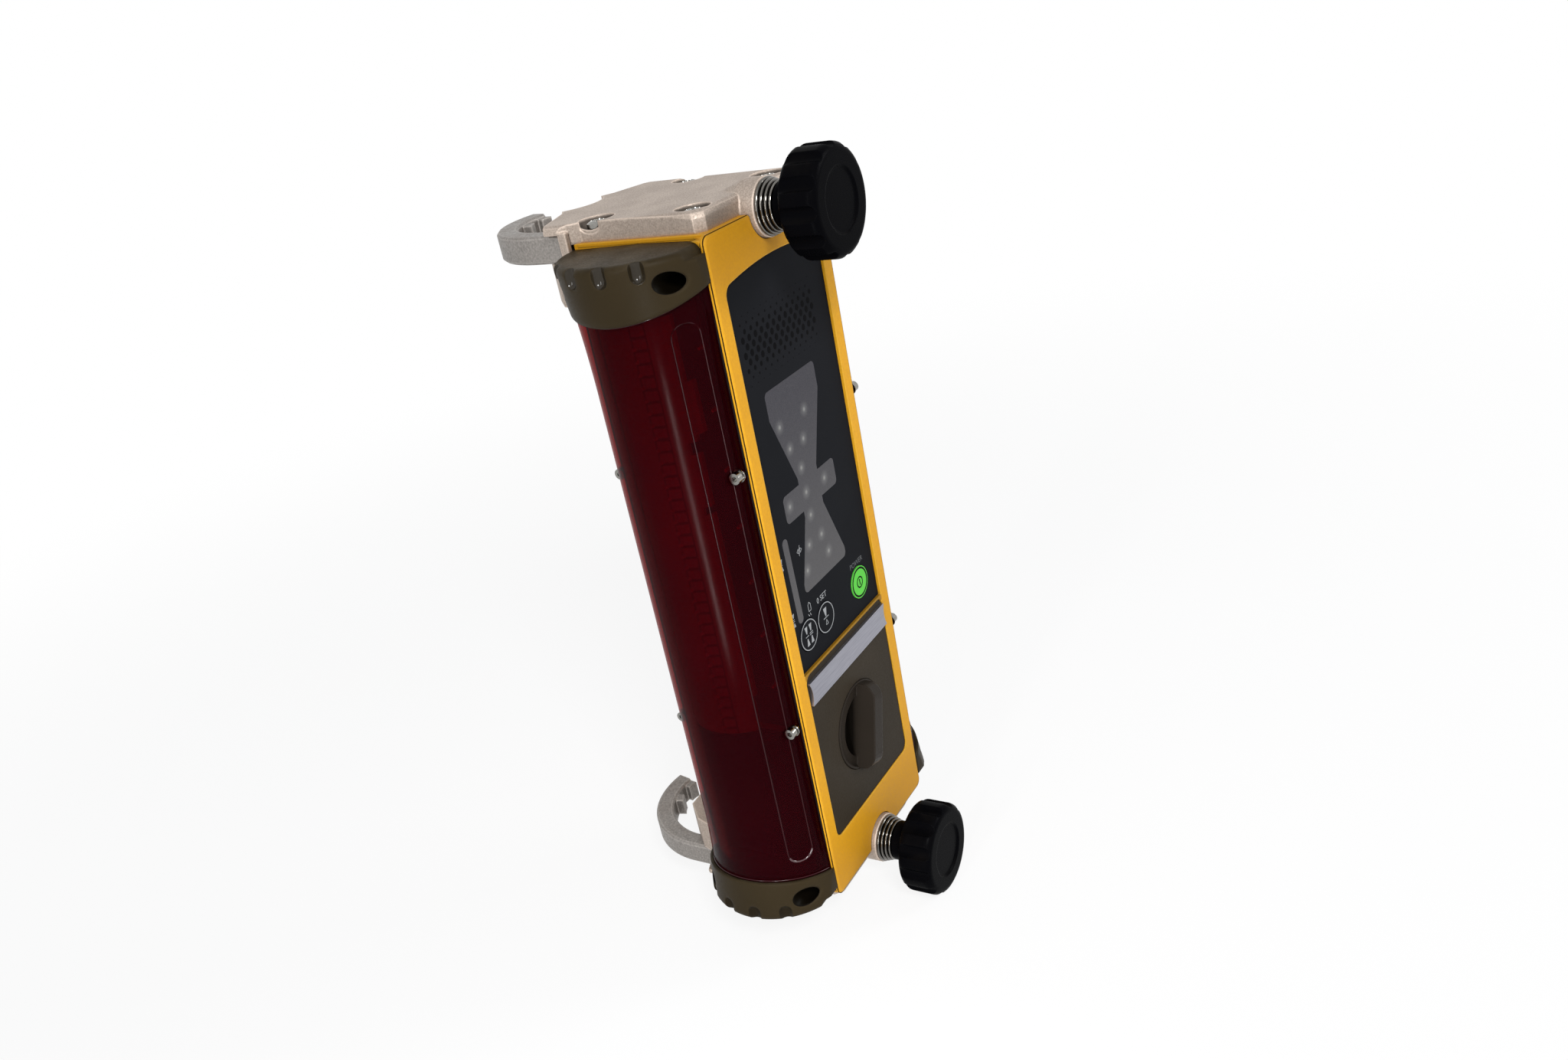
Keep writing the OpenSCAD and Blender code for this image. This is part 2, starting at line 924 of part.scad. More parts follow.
module window_washers() {
    color([0.75, 0.75, 0.73])
    from_front()
    both_sides()
    both_ends()
    front_and_back()
    difference() {
        union() {
            along_x(screw_y, window_screw_z, washer_r, -lip_x - washer_t, -lip_x);
            along_x(screw_y, window_screw_z, lock_washer_r, -lip_x - washer_t - lock_washer_t,
                -lip_x - washer_t + eps);
        }
        along_x(screw_y, window_screw_z, screw_r + seat_gap, -outer_x, 0);
    }
}

module front_panel() {
    color([0.12, 0.12, 0.13])
    from_front()
    difference() {
        union() {
            slab(panel_recess, panel_back)
                polygon(panel_outline(panel_half - panel_clear, panel_low + panel_clear, panel_clear));
            block(-cavity_half + slip, cavity_half - slip, bezel_t, panel_back,
                panel_low - over, flange_top_z - panel_round);
            both_sides()
                for (z = [standoff_low, standoff_top])
                    along_y(standoff_x, z, standoff_r, panel_back - eps, board_y);
        }
        slab(panel_recess - over, panel_back + over)
            display_shape(display_clear);
        slab(panel_recess - over, panel_back + over)
            side_shape(display_clear);
        along_y(power_x, button_z, power_r + button_gap, -over, panel_back + over);
        for (x = set_x)
            along_y(x, button_z, set_r + button_gap, -over, panel_back + over);
    }
}

module display_window() {
    color([0.4, 0.4, 0.42])
        from_front()
            slab(panel_recess, panel_recess + display_t)
                display_shape(0);
}

module side_indicator() {
    color([0.5, 0.5, 0.52])
        from_front()
            slab(panel_recess, panel_recess + display_t)
                side_shape(0);
}

module display_board() {
    color([0.05, 0.25, 0.12])
        from_front()
            block(led_left, led_right, led_y, led_y + board_t, led_low, led_top);
}

module main_board() {
    color([0.05, 0.25, 0.12])
    from_front() {
        block(-board_half, board_half, board_y, board_y + board_t, board_low, board_top);
        for (x = concat(set_x, [power_x]))
            block(x - switch_half, x + switch_half, board_y - switch_h, board_y + eps,
                button_z - switch_half, button_z + switch_half);
    }
}

module buzzer() {
    color([0.1, 0.1, 0.1])
        from_front()
            along_y(buzzer_x, buzzer_z, buzzer_r, board_y + board_t, board_y + board_t + buzzer_h);
}

module sensor_board() {
    block(-cavity_half + sensor_gap, -cavity_half + sensor_gap + sensor_t, sensor_front, sensor_back,
        sensor_low, sensor_top);
}

module photodiode_row() {
    for (i = [0 : diode_n - 1])
        translate([-cavity_half + sensor_gap - diode_h, mid_y - diode_half,
            diode_low + (diode_top - diode_low) * i / (diode_n - 1) - diode_half])
            cube([diode_h, diode_half * 2, diode_half * 2]);
}

module light_guide() {
    intersection() {
        difference() {
            window_cylinder(guide_r);
            window_cylinder(guide_r - guide_t);
        }
        for (i = [0 : len(guide_step_shares) - 1])
            block(-outer_x, -half_w - guide_gap, housing_d * guide_step_shares[i][1], housing_d,
                guide_low + guide_h * (i == 0 ? 0 : guide_step_shares[max(i, 1) - 1][0]) - eps,
                guide_low + guide_h * guide_step_shares[i][0]);
    }
}

module left_sensor_board() {
    color([0.05, 0.2, 0.1])
        from_front()
            sensor_board();
}

module right_sensor_board() {
    color([0.05, 0.2, 0.1])
        from_front()
            mirror([1, 0, 0])
                sensor_board();
}

module left_photodiodes() {
    color([0.15, 0.15, 0.2])
        from_front()
            photodiode_row();
}

module right_photodiodes() {
    color([0.15, 0.15, 0.2])
        from_front()
            mirror([1, 0, 0])
                photodiode_row();
}

module left_light_guide() {
    color([0.7, 0.02, 0.05, 0.6])
        from_front()
            light_guide();
}

module right_light_guide() {
    color([0.7, 0.02, 0.05, 0.6])
        from_front()
            mirror([1, 0, 0])
                light_guide();
}

module battery_bay() {
    color([0.14, 0.14, 0.14])
    from_front() {
        difference() {
            block(-bay_half - bay_wall, bay_half + bay_wall, bay_front, bay_back, bay_low - bay_wall,
                bay_top + bay_wall);
            block(-bay_half, bay_half, bay_front - over, bay_back - bay_floor, bay_low, bay_top);
            block(-bay_half - cam_slot_deep, bay_half + cam_slot_deep, cam_front - slip, cam_back + slip,
                lock_z - cam_slot_half, lock_z + cam_slot_half);
        }
        both_sides()
            block(strike_x, bay_half + bay_wall * half, bay_front, cam_front - slip,
                lock_z - cam_slot_half, lock_z + cam_slot_half);
    }
}

// Plan of the bracket behind the housing, with the mast seat still uncut
function jaw_plan() = [[-cheek_out, jaw_front], [-cheek_out, cheek_back], [-hook_out, side_back],
    [-jaw_corner_x, jaw_corner_y], [-lip_base_x, lip_base_y + over], [-lip_half, jaw_y],
    [lip_half, jaw_y], [lip_base_x, lip_base_y + over], [shoulder_x, shoulder_y],
    [plate_half, side_back - over], [plate_half, jaw_front]];

function plate_plan() = [[-plate_half, plate_front], [-plate_half, flare_front],
    [-cheek_out, cheek_back], [-cheek_out, side_back - over], [-lip_base_x, lip_base_y],
    [-lip_half, jaw_y], [lip_half, jaw_y], [lip_base_x, lip_base_y], [shoulder_x, shoulder_y],
    [plate_half, side_back - over], [plate_half, plate_front]];

function wall_plan() = [[wall_in, jaw_front], [wall_in, wall_back], [lip_base_x, lip_base_y],
    [shoulder_x, shoulder_y], [plate_half, side_back - over], [plate_half, jaw_front]];

module plate_loaf(edge, top) {
    hull() {
        loaf_layer(0, plate_low - eps, top - edge);
        loaf_layer(edge * plate_edge_share, plate_low, top - edge * plate_edge_share);
        loaf_layer(edge, plate_low, top);
    }
}

module loaf_layer(inset, z0, z1) {
    translate([0, 0, z0])
        linear_extrude(height = z1 - z0)
            polygon([[-plate_half + inset, plate_front + inset + bezel_round],
                [-plate_half + inset + bezel_round, plate_front + inset],
                [plate_half - inset - bezel_round, plate_front + inset],
                [plate_half - inset, plate_front + inset + bezel_round],
                [plate_half - inset, jaw_y + far], [-plate_half + inset, flare_front],
                [-cheek_out + inset, cheek_back], [-cheek_out + inset, jaw_y + far]]);
}

module clamp_bracket() {
    difference() {
        union() {
            intersection() {
                translate([0, 0, plate_low])
                    linear_extrude(height = plate_t)
                        polygon(plate_plan());
                plate_loaf(plate_edge, plate_top);
            }
            translate([0, 0, jaw_low])
                linear_extrude(height = slot_low - jaw_low)
                    polygon(jaw_plan());
            translate([0, 0, slot_low - over])
                linear_extrude(height = slot_top - slot_low + 2 * over)
                    polygon(wall_plan());
            block(-cheek_out, -cheek_in, jaw_front, cheek_back, slot_low - over, slot_top + over);
            along_y(0, rod_z, boss_cyl_r, -boss_out, boss_back);
            intersection() {
                translate([0, boss_back - eps, rod_z])
                    rotate([-90, 0, 0])
                        cylinder(h = hump_back - boss_back, r1 = boss_cyl_r, r2 = hump_r);
                block(-far, far, 0, far, plate_low, far);
            }
        }
        block(-cheek_in, wall_in, jaw_front, far, slot_low, slot_top);
        block(-far, -cheek_in + eps, cheek_back, far, slot_low, slot_top);
        along_y(0, rod_z, rod_r + rod_fit, -far, boss_back + over);
        along_y(0, rod_z, channel_r, boss_back + over - eps, jaw_front + over);
        translate([0, mast_y, jaw_low - over])
            cylinder(h = housing_h, r = mast_r);
        both_sides() {
            bracket_screw_well(front_screw_x, front_screw_y);
            bracket_screw_well(rear_screw_x, rear_screw_y);
        }
    }
}

function well_profile() = concat([[0, 0]],
    arc([bracket_well_r - bracket_well_round, bracket_well_round], bracket_well_round, -90, 0, 4),
    [[bracket_well_r, far], [0, far]]);

module bracket_screw_well(x, y) {
    translate([x, y, plate_top - bracket_well_deep])
        rotate_extrude()
            polygon(well_profile());
    translate([x, y, half_h - over])
        cylinder(h = far, r = bracket_hole_r);
}

module upper_bracket() {
    color([0.62, 0.58, 0.54])
        from_front()
            clamp_bracket();
}

module lower_bracket() {
    color([0.62, 0.58, 0.54])
        from_front()
            mirror([0, 0, 1])
                clamp_bracket();
}

module bracket_screw(x, y) {
    difference() {
        union() {
            translate([x, y, plate_top - bracket_well_deep])
                cylinder(h = bracket_head_h, r = bracket_head_r);
            translate([x, y, half_h - bracket_screw_in])
                cylinder(h = plate_t - bracket_well_deep + bracket_screw_in + eps, r = bracket_screw_r);
        }
        for (a = [0, 90])
            translate([x, y, plate_top - bracket_well_deep + bracket_head_h])
                rotate([0, 0, a])
                    cube([bracket_head_r, slot_w, slot_deep * 2], center = true);
    }
}

module bracket_screws() {
    color([0.7, 0.69, 0.66])
    from_front()
    both_ends()
    both_sides() {
        bracket_screw(front_screw_x, front_screw_y);
        bracket_screw(rear_screw_x, rear_screw_y);
    }
}

module washer_stack() {
    for (i = [0 : ring_n - 1])
        difference() {
            along_y(0, rod_z, ring_r - i * ring_fall, ring_front - i * ring_step - ring_t,
                ring_front - i * ring_step);
            along_y(0, rod_z, ring_in, -far, 0);
        }
}

module upper_washers() {
    color([0.8, 0.8, 0.78])
        from_front()
            washer_stack();
}

module lower_washers() {
    color([0.8, 0.8, 0.78])
        from_front()
            mirror([0, 0, 1])
                washer_stack();
}

function knob_profile() = concat(
    [[0, 0], [hub_r, 0], [hub_r, hub_len]],
    arc([knob_r - knob_round, hub_len + knob_round], knob_round, -90, 0, 5),
    arc([knob_r - knob_round, hub_len + knob_t - knob_round], knob_round, 0, 90, 5),
    [[face_r + face_deep, hub_len + knob_t], [face_r, hub_len + knob_t - face_deep],
        [0, hub_len + knob_t - face_deep]]);

module clamp_knob() {
    translate([0, hub_back, rod_z])
        rotate([90, 0, 0])
            difference() {
                rotate_extrude()
                    polygon(knob_profile());
                for (i = [0 : knob_flutes - 1])
                    rotate([0, 0, 360 * i / knob_flutes])
                        translate([knob_r + knob_flute_out, 0, hub_len - over])
                            cylinder(h = knob_t + 2 * over, r = knob_flute_r);
                translate([0, 0, -over])
                    cylinder(h = rod_grip + over, r = rod_r + rod_seat);
            }
}

module upper_knob() {
    color([0.06, 0.06, 0.07])
        from_front()
            clamp_knob();
}

module lower_knob() {
    color([0.06, 0.06, 0.07])
        from_front()
            mirror([0, 0, 1])
                clamp_knob();
}

module upper_rod() {
    color([0.6, 0.6, 0.6])
        from_front()
            along_y(0, rod_z, rod_r, hub_back - rod_grip, rod_back);
}

module lower_rod() {
    color([0.6, 0.6, 0.6])
        from_front()
            along_y(0, -rod_z, rod_r, hub_back - rod_grip, rod_back);
}

function hook_section() = [[hook_r + hook_chamfer, 0], [hook_out - hook_chamfer, 0],
    [hook_out, hook_chamfer], [hook_out, hook_h - hook_chamfer], [hook_out - hook_chamfer, hook_h],
    [hook_r + hook_chamfer, hook_h], [hook_r, hook_h - hook_chamfer], [hook_r, hook_chamfer]];

module clamp_hook() {
    difference() {
        union() {
            translate([0, hook_cy, hook_low])
                rotate([0, 0, hook_tip])
                    rotate_extrude(angle = 180 - hook_tip)
                        polygon(hook_section());
            translate([0, hook_cy, hook_low])
                rotate([90, 0, 0])
                    linear_extrude(height = hook_cy - bar_front)
                        mirror([1, 0])
                            polygon(hook_section());
            block(-hook_out + hook_chamfer, bar_end, bar_front, bar_front + bar_deep, hook_low, hook_top);
            block(-hook_out + hook_chamfer, -hook_r - hook_chamfer, hook_cy - bar_deep * half,
                hook_cy + over, hook_low + hook_chamfer, hook_top - hook_chamfer);
            for (a = rib_turns)
                translate([0, hook_cy, hook_low + rib_in_z])
                    rotate([0, 0, a])
                        translate([hook_r - rib_deep, -rib_w * half, 0])
                            cube([rib_deep + over, rib_w, hook_h - 2 * rib_in_z]);
        }
        along_y(0, rod_z, rod_r + rod_fit, bar_front - over, bar_front + bar_deep + over);
        translate([0, mast_y, hook_low - over])
            cylinder(h = hook_h + 2 * over, r = mast_r);
    }
}

module upper_hook() {
    color([0.6, 0.58, 0.55])
        from_front()
            clamp_hook();
}

module lower_hook() {
    color([0.6, 0.58, 0.55])
        from_front()
            mirror([0, 0, 1])
                clamp_hook();
}

module battery_door() {
    color([0.2, 0.19, 0.16])
    from_front()
    difference() {
        union() {
            slab(door_face, door_back)
                polygon(round_rect(door_half, door_low, door_top, door_round));
            along_y(0, lock_z, cup_r, door_back - eps, cup_back);
            both_sides()
                for (z = [tray_low + post_in, tray_top - post_in])
                    along_y(tray_half - post_in, z, post_r, door_back - eps, tray_front);
        }
        along_y(0, lock_z, dial_r + dial_gap, -over, dial_back + slip);
        along_y(0, lock_z, shaft_hole_r, -over, far);
    }
}

module door_bar() {
    color([0.62, 0.62, 0.65])
    from_front()
    difference() {
        intersection() {
            block(-bar_plate_half, bar_plate_half, -bar_plate_out, door_face, bar_top - bar_plate_h,
                bar_top);
            slab(-bar_plate_out - over, door_face + over)
                polygon(round_rect(bar_plate_half, door_low, door_top, door_round));
        }
        both_sides()
            along_y(bar_plate_half + bar_end_r - bar_end_in, bar_top - bar_plate_h * half, bar_end_r,
                -bar_plate_out - over, door_face + over);
    }
}

module door_seal() {
    color([0.05, 0.05, 0.05])
    from_front()
    difference() {
        block(-door_half + seal_in, door_half - seal_in, door_back, door_back + seal_t,
            door_low + seal_in, door_top - seal_in);
        block(-door_half + seal_in + seal_w, door_half - seal_in - seal_w, door_back - over,
            door_back + seal_t + over, door_low + seal_in + seal_w, door_top - seal_in - seal_w);
    }
}

module cell_places() {
    for (x = [-cell_x, cell_x])
        for (z = [tray_mid - cell_dz, tray_mid + cell_dz])
            translate([x, 0, z])
                children();
}

module battery_tray() {
    color([0.18, 0.18, 0.18])
    from_front()
    difference() {
        union() {
            block(-tray_half, tray_half, tray_front, tray_front + tray_t, tray_low, tray_top);
            block(-tray_half, tray_half, tray_back - tray_t, tray_back, tray_low, tray_top);
            block(-cell_x, cell_x, tray_front, tray_back, tray_mid - tube_t, tray_mid + tube_t);
            block(-tube_t, tube_t, tray_front, tray_back, tray_mid - cell_dz, tray_mid + cell_dz);
            cell_places()
                along_y(0, 0, tube_r, tray_front, tray_back);
        }
        cell_places()
            along_y(0, 0, cell_r + cell_clear, tray_front + tray_t, tray_back - tray_floor);
    }
}

module cells() {
    color([0.2, 0.35, 0.25])
        from_front()
            cell_places() {
                along_y(0, 0, cell_r, cell_front + contact_t, cell_back - contact_t);
                along_y(0, 0, nub_r, cell_front + contact_t - nub_h, cell_front + contact_t + eps);
            }
}

module contacts() {
    color([0.75, 0.7, 0.5])
        from_front()
            cell_places()
                along_y(0, 0, contact_r, cell_back - contact_t + touch, cell_back);
}

module lock_dial() {
    color([0.18, 0.17, 0.16])
    from_front()
    difference() {
        union() {
            along_y(0, lock_z, dial_r, dial_face, dial_back);
            along_y(0, lock_z, shaft_r, dial_back - eps, shaft_end);
            translate([0, 0, lock_z])
                rotate([0, grip_turn, 0])
                    dial_grip();
        }
        translate([0, 0, lock_z])
            rotate([0, grip_turn, 0])
                both_sides()
                    intersection() {
                        along_y(0, 0, pocket_r, dial_face - over, dial_face + pocket_deep);
                        block(grip_half, far, -far, far, -far, far);
                    }
    }
}

// Upright grip rounded off towards its free edge
module dial_grip() {
    translate([-grip_half, 0, 0])
        rotate([90, 0, 90])
            linear_extrude(height = grip_half * 2)
                polygon(concat([[dial_face + eps, -grip_len_half]],
                    [[dial_face + eps, grip_len_half]],
                    arc([door_face - grip_h + grip_round, grip_len_half - grip_round], grip_round,
                        90, 180, 6),
                    arc([door_face - grip_h + grip_round, -grip_len_half + grip_round], grip_round,
                        180, 270, 6)));
}

module latch_cam() {
    color([0.6, 0.6, 0.58])
    from_front()
    difference() {
        union() {
            block(-cam_half_w, cam_half_w, cam_front, cam_back, lock_z - cam_half, lock_z + cam_half);
            along_y(0, lock_z, cam_hub_r, cam_front, cam_back);
        }
        along_y(0, lock_z, shaft_r + rod_seat, cam_front - over, cam_back + over);
    }
}

module power_button() {
    color([0.35, 0.75, 0.28])
        push_button(power_x, power_r);
}

module push_button(x, r) {
    from_front() {
        along_y(x, button_z, r, panel_recess - button_proud, panel_recess - button_proud + button_t);
        along_y(x, button_z, stem_r, panel_recess, board_y - switch_h - stem_gap);
    }
}

module zero_button() {
    color([0.13, 0.13, 0.14])
        push_button(set_x[1], set_r);
}

module mode_button() {
    color([0.13, 0.13, 0.14])
        push_button(set_x[0], set_r);
}

main_housing();
front_bezel();
left_window();
right_window();
left_window_seal();
right_window_seal();
upper_left_cap();
upper_right_cap();
lower_left_cap();
lower_right_cap();
cap_screws();
window_screws();
window_washers();
front_panel();
display_window();
side_indicator();
display_board();
main_board();
buzzer();
left_sensor_board();
right_sensor_board();
left_photodiodes();
right_photodiodes();
left_light_guide();
right_light_guide();
battery_bay();
upper_bracket();
lower_bracket();
bracket_screws();
upper_washers();
lower_washers();
upper_knob();
lower_knob();
upper_rod();
lower_rod();
upper_hook();
lower_hook();
battery_door();
door_bar();
door_seal();
battery_tray();
cells();
contacts();
lock_dial();
latch_cam();
power_button();
zero_button();
mode_button();
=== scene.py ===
import json
import math

import bmesh
import bpy
from mathutils import Matrix, Vector


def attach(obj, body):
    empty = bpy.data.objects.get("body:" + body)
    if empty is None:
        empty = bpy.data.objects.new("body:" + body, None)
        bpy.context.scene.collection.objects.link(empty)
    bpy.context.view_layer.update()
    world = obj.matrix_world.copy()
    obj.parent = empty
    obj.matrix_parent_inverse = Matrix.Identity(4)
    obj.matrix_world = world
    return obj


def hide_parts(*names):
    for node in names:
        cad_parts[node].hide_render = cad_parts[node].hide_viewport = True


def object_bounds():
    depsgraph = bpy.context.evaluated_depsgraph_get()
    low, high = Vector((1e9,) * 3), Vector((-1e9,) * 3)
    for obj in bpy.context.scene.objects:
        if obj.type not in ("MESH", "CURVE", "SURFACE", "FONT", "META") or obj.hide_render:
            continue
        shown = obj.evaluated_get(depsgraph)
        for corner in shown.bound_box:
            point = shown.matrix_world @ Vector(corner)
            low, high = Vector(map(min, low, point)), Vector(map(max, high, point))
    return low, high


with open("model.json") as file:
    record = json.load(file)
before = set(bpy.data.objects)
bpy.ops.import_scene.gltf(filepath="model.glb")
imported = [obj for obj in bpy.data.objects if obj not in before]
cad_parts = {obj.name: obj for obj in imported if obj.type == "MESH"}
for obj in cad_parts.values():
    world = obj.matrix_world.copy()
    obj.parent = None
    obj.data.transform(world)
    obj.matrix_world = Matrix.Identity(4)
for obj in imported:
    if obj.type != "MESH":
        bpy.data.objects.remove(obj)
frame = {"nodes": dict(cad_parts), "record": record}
cad_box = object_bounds()
nodes = frame["nodes"]
scene = bpy.context.scene
scene.view_settings.view_transform = "Standard"

MM = 0.001
FRONT = -0.115248  # the receiver's front plane in the shared frame

# Sizes in millimetres from the middle of the front face, y running back from it, and turns in degrees
HALF_W, HALF_H = 52.8, 179.0
ROD_Z, ROD_R, ROD_FRONT, ROD_BACK = 179.0, 4.0, -30.9, 95.45
THREAD_START, THREAD_PITCH, THREAD_RIDGE = 66.0, 1.25, 0.55
WASHERS, WASHER_BACK, WASHER_R = 4, -2.65, 13.4
WASHER_STEP, WASHER_T, WASHER_FALL = 2.0, 1.7, 0.7  # each washer is smaller than the one behind it
SCREW_SEAT = 182.8  # floor of the wells in the clamp plates
WELLS = ((33.0, 16.0), (38.5, 66.0))  # x and y of the wells; the same on the other side
WELL_R, WELL_TOP, PLATE_HALF = 8.55, 187.55, 45.0
CAP_SCREW_X, CAP_SCREW_Z = 53.42, 165.4
CAP_SCREW_ASIDE, CAP_WELL_R = 29.5, 4.97  # either side of the window's axis
DIMPLE_OUT, DIMPLE_LOW, DIMPLE_R = 40.9, 170.8, 3.57
DIMPLE_TURNS = (-42.6, -18.0, 6.6, 31.4)
DIMPLE_SHADE = 0.5  # how dark a dimple is beside a screw well
CAP_EDGE_Z, CAP_FALL = 160.0, {"upper": 18.0, "lower": 13.5}  # height and slant of the cap edges
DIAL_FACE, DIAL_R, DIAL_Z = 0.7, 24.6, -102.4
SILL_Z, SILL_HALF, SILL_REACH, SILL_DEEP = -46.2, 2.6, 44.0, 11.0  # rib between the panel and the battery door, darkened by a painted shadow of the bar
MASK_X, MASK_Y = 52.5, 2.075  # where the housing's sides behind the windows turn near black
PANEL_FACE, BUTTON_FACE = 1.6, 1.1
BUTTON_Z, MODE_X, ZERO_X, POWER_X = -28.6, -31.0, -12.8, 26.2
PRINT_T = 0.05
AXIS_X, AXIS_Y, GUIDE_R = 46.4, 38.0, 27.8  # axis of the windows, and the light guides round it
WINDOW_R, RIM_R, RIM_TURN = 34.95, 36.1, 78.0
FLUTE_TURN, FLUTE_HALF, FLUTE_END, FLUTE_ROUND = -55.0, 11.5, 140.0, 6.0
LADDER_Y, LADDER_HALF, LADDER_RAIL, RUNG_STEP = 30.5, 3.6, 3.4, 3.0  # painted shadows of the sensors on the light guides
SLEEVE_Y = 29.5  # front end of the cells' sleeves
LAMP_HALO, LAMP_CORE = 4.8, 1.6
LAMPS = [
    (3.8, 79.2), (-20.5, 79.2), (-1.7, 66.0), (-15.2, 66.0), (-8.4, 53.2), (10.7, 39.4), (-8.2, 40.0),
    (-25.0, 39.6), (-8.1, 27.5), (-1.6, 13.7), (-14.6, 13.8), (2.2, 2.3), (-20.5, 2.4),
]
SIDES = (("left", -1), ("right", 1))
ENDS = (("upper", 1), ("lower", -1))
CORNERS = [(way, end) for way in (-1, 1) for end in (-1, 1)]


def place(x, y, z):
    """A point given from the front plane in millimetres, in the shared frame in metres."""
    return Vector((x * MM, y * MM + FRONT, z * MM))


# Node trees

FLOAT, VECTOR, WHOLE = "NodeSocketFloat", "NodeSocketVector", "NodeSocketInt"
GIVES_VALUE = ("DISTANCE", "DOT_PRODUCT", "LENGTH")


class Net:
    """Adds and joins the nodes of one tree."""

    def __init__(self, tree):
        self.tree = tree

    def add(self, kind, inputs=None, **settings):
        """A node with its settings; an input is a socket to join or a plain value."""
        node = self.tree.nodes.new(kind)
        for key, value in settings.items():
            setattr(node, key, value)
        for key, value in (inputs or {}).items():
            if isinstance(value, bpy.types.NodeSocket):
                self.tree.links.new(value, node.inputs[key])
            else:
                node.inputs[key].default_value = value
        return node

    def math(self, operation, a, b=0.0, c=0.0):
        return self.add("ShaderNodeMath", {0: a, 1: b, 2: c}, operation=operation).outputs[0]

    def times(self, first, *others):
        """The product of all values."""
        for other in others:
            first = self.math("MULTIPLY", first, other)
        return first

    def vector(self, operation, *given):
        node = self.add("ShaderNodeVectorMath", dict(enumerate(given)), operation=operation)
        return node.outputs["Value" if operation in GIVES_VALUE else "Vector"]

    def split(self, vector):
        """The x, y and z of a vector."""
        return self.add("ShaderNodeSeparateXYZ", {0: vector}).outputs

    def join(self, x, y=0.0, z=0.0):
        """A vector from its x, y and z."""
        return self.add("ShaderNodeCombineXYZ", {0: x, 1: y, 2: z}).outputs[0]

    def mix(self, factor, a, b, share=None):
        """From colour a to colour b by a factor, or by a share of it."""
        if share is not None:
            factor = self.times(factor, share)
        return self.add("ShaderNodeMix", {0: factor, 6: a, 7: b}, data_type="RGBA").outputs[2]

    def fit(self, value, low, high, to_low=0.0, to_high=1.0, smooth=False):
        """Stretches a value from one range to another and stops at its ends."""
        node = self.add("ShaderNodeMapRange", {0: value, 1: low, 2: high, 3: to_low, 4: to_high})
        node.interpolation_type = "SMOOTHSTEP" if smooth else "LINEAR"
        return node.outputs[0]

    def under(self, length, limit, soft=0.05):
        """1 where a length is under a limit in millimetres, with a soft edge."""
        return self.fit(length, (limit + soft) * MM, (limit - soft) * MM)

    def over(self, length, limit, soft=0.05):
        """1 where a length is over a limit in millimetres, with a soft edge."""
        return self.under(length, limit, -soft)

    def blend(self, share, a, b, output="Material Output"):
        """Ends the tree with a mix of two shader nodes."""
        both = self.add("ShaderNodeMixShader", {0: share, 1: a.outputs[0], 2: b.outputs[0]})
        self.tree.links.new(both.outputs[0], self.tree.nodes[output].inputs["Surface"])


def effect(name, inputs, outputs):
    """A shader group with named sockets; gives its net, its inputs and a function that sets an output."""
    tree = bpy.data.node_groups.new(name, "ShaderNodeTree")
    for label, kind, value in inputs:
        socket = tree.interface.new_socket(label, in_out="INPUT", socket_type=kind)
        if value is not None:
            socket.default_value = value
    for label, kind in outputs:
        tree.interface.new_socket(label, in_out="OUTPUT", socket_type=kind)
    net = Net(tree)
    entry = net.add("NodeGroupInput")
    leave = net.add("NodeGroupOutput")
    return net, entry.outputs, lambda label, socket: tree.links.new(socket, leave.inputs[label])


def make_grain():
    """Fine moulded or sprayed grain: an even speckle with a slow drift of tone under it."""
    net, given, out = effect(
        "moulded_grain",
        [("Place", VECTOR, None), ("Scale", FLOAT, 900.0), ("Drift", FLOAT, 14.0)],
        [("Speckle", FLOAT), ("Tone", FLOAT), ("Height", FLOAT)],
    )
    fine = net.add("ShaderNodeTexNoise", {"Vector": given["Place"], "Scale": given["Scale"], "Detail": 2.0})
    slow = net.add("ShaderNodeTexNoise", {"Vector": given["Place"], "Scale": given["Drift"], "Detail": 3.0})
    pits = net.add("ShaderNodeTexVoronoi", {"Vector": given["Place"], "Scale": given["Scale"]})
    out("Speckle", net.fit(fine.outputs[0], 0.3, 0.7))
    out("Tone", net.fit(slow.outputs[0], 0.32, 0.68))
    out("Height", net.math("MULTIPLY_ADD", pits.outputs[0], 0.5, fine.outputs[0]))
    return net.tree


def make_dust():
    """Thin dust that settles on faces turned up and breaks into patches."""
    net, given, out = effect(
        "settled_dust",
        [("Place", VECTOR, None), ("Amount", FLOAT, 0.2), ("Scale", FLOAT, 60.0)],
        [("Mask", FLOAT)],
    )
    normal = net.add("ShaderNodeTexCoord").outputs["Normal"]
    up = net.fit(net.split(normal)[2], 0.1, 1.0)
    patch = net.add("ShaderNodeTexNoise", {"Vector": given["Place"], "Scale": given["Scale"], "Detail": 5.0})
    out("Mask", net.times(up, net.fit(patch.outputs[0], 0.42, 0.66), given["Amount"]))
    return net.tree


def make_drawn():
    """Drawn or turned metal: fine lines pulled out along one direction by Stretch."""
    net, given, out = effect(
        "drawn_lines",
        [("Place", VECTOR, None), ("Stretch", VECTOR, (1.0, 1.0, 1.0)), ("Scale", FLOAT, 600.0)],
        [("Lines", FLOAT), ("Height", FLOAT)],
    )
    pulled = net.vector("MULTIPLY", given["Place"], given["Stretch"])
    lines = net.add("ShaderNodeTexNoise", {"Vector": pulled, "Scale": given["Scale"], "Detail": 4.0})
    out("Lines", net.fit(lines.outputs[0], 0.3, 0.7))
    out("Height", lines.outputs[0])
    return net.tree


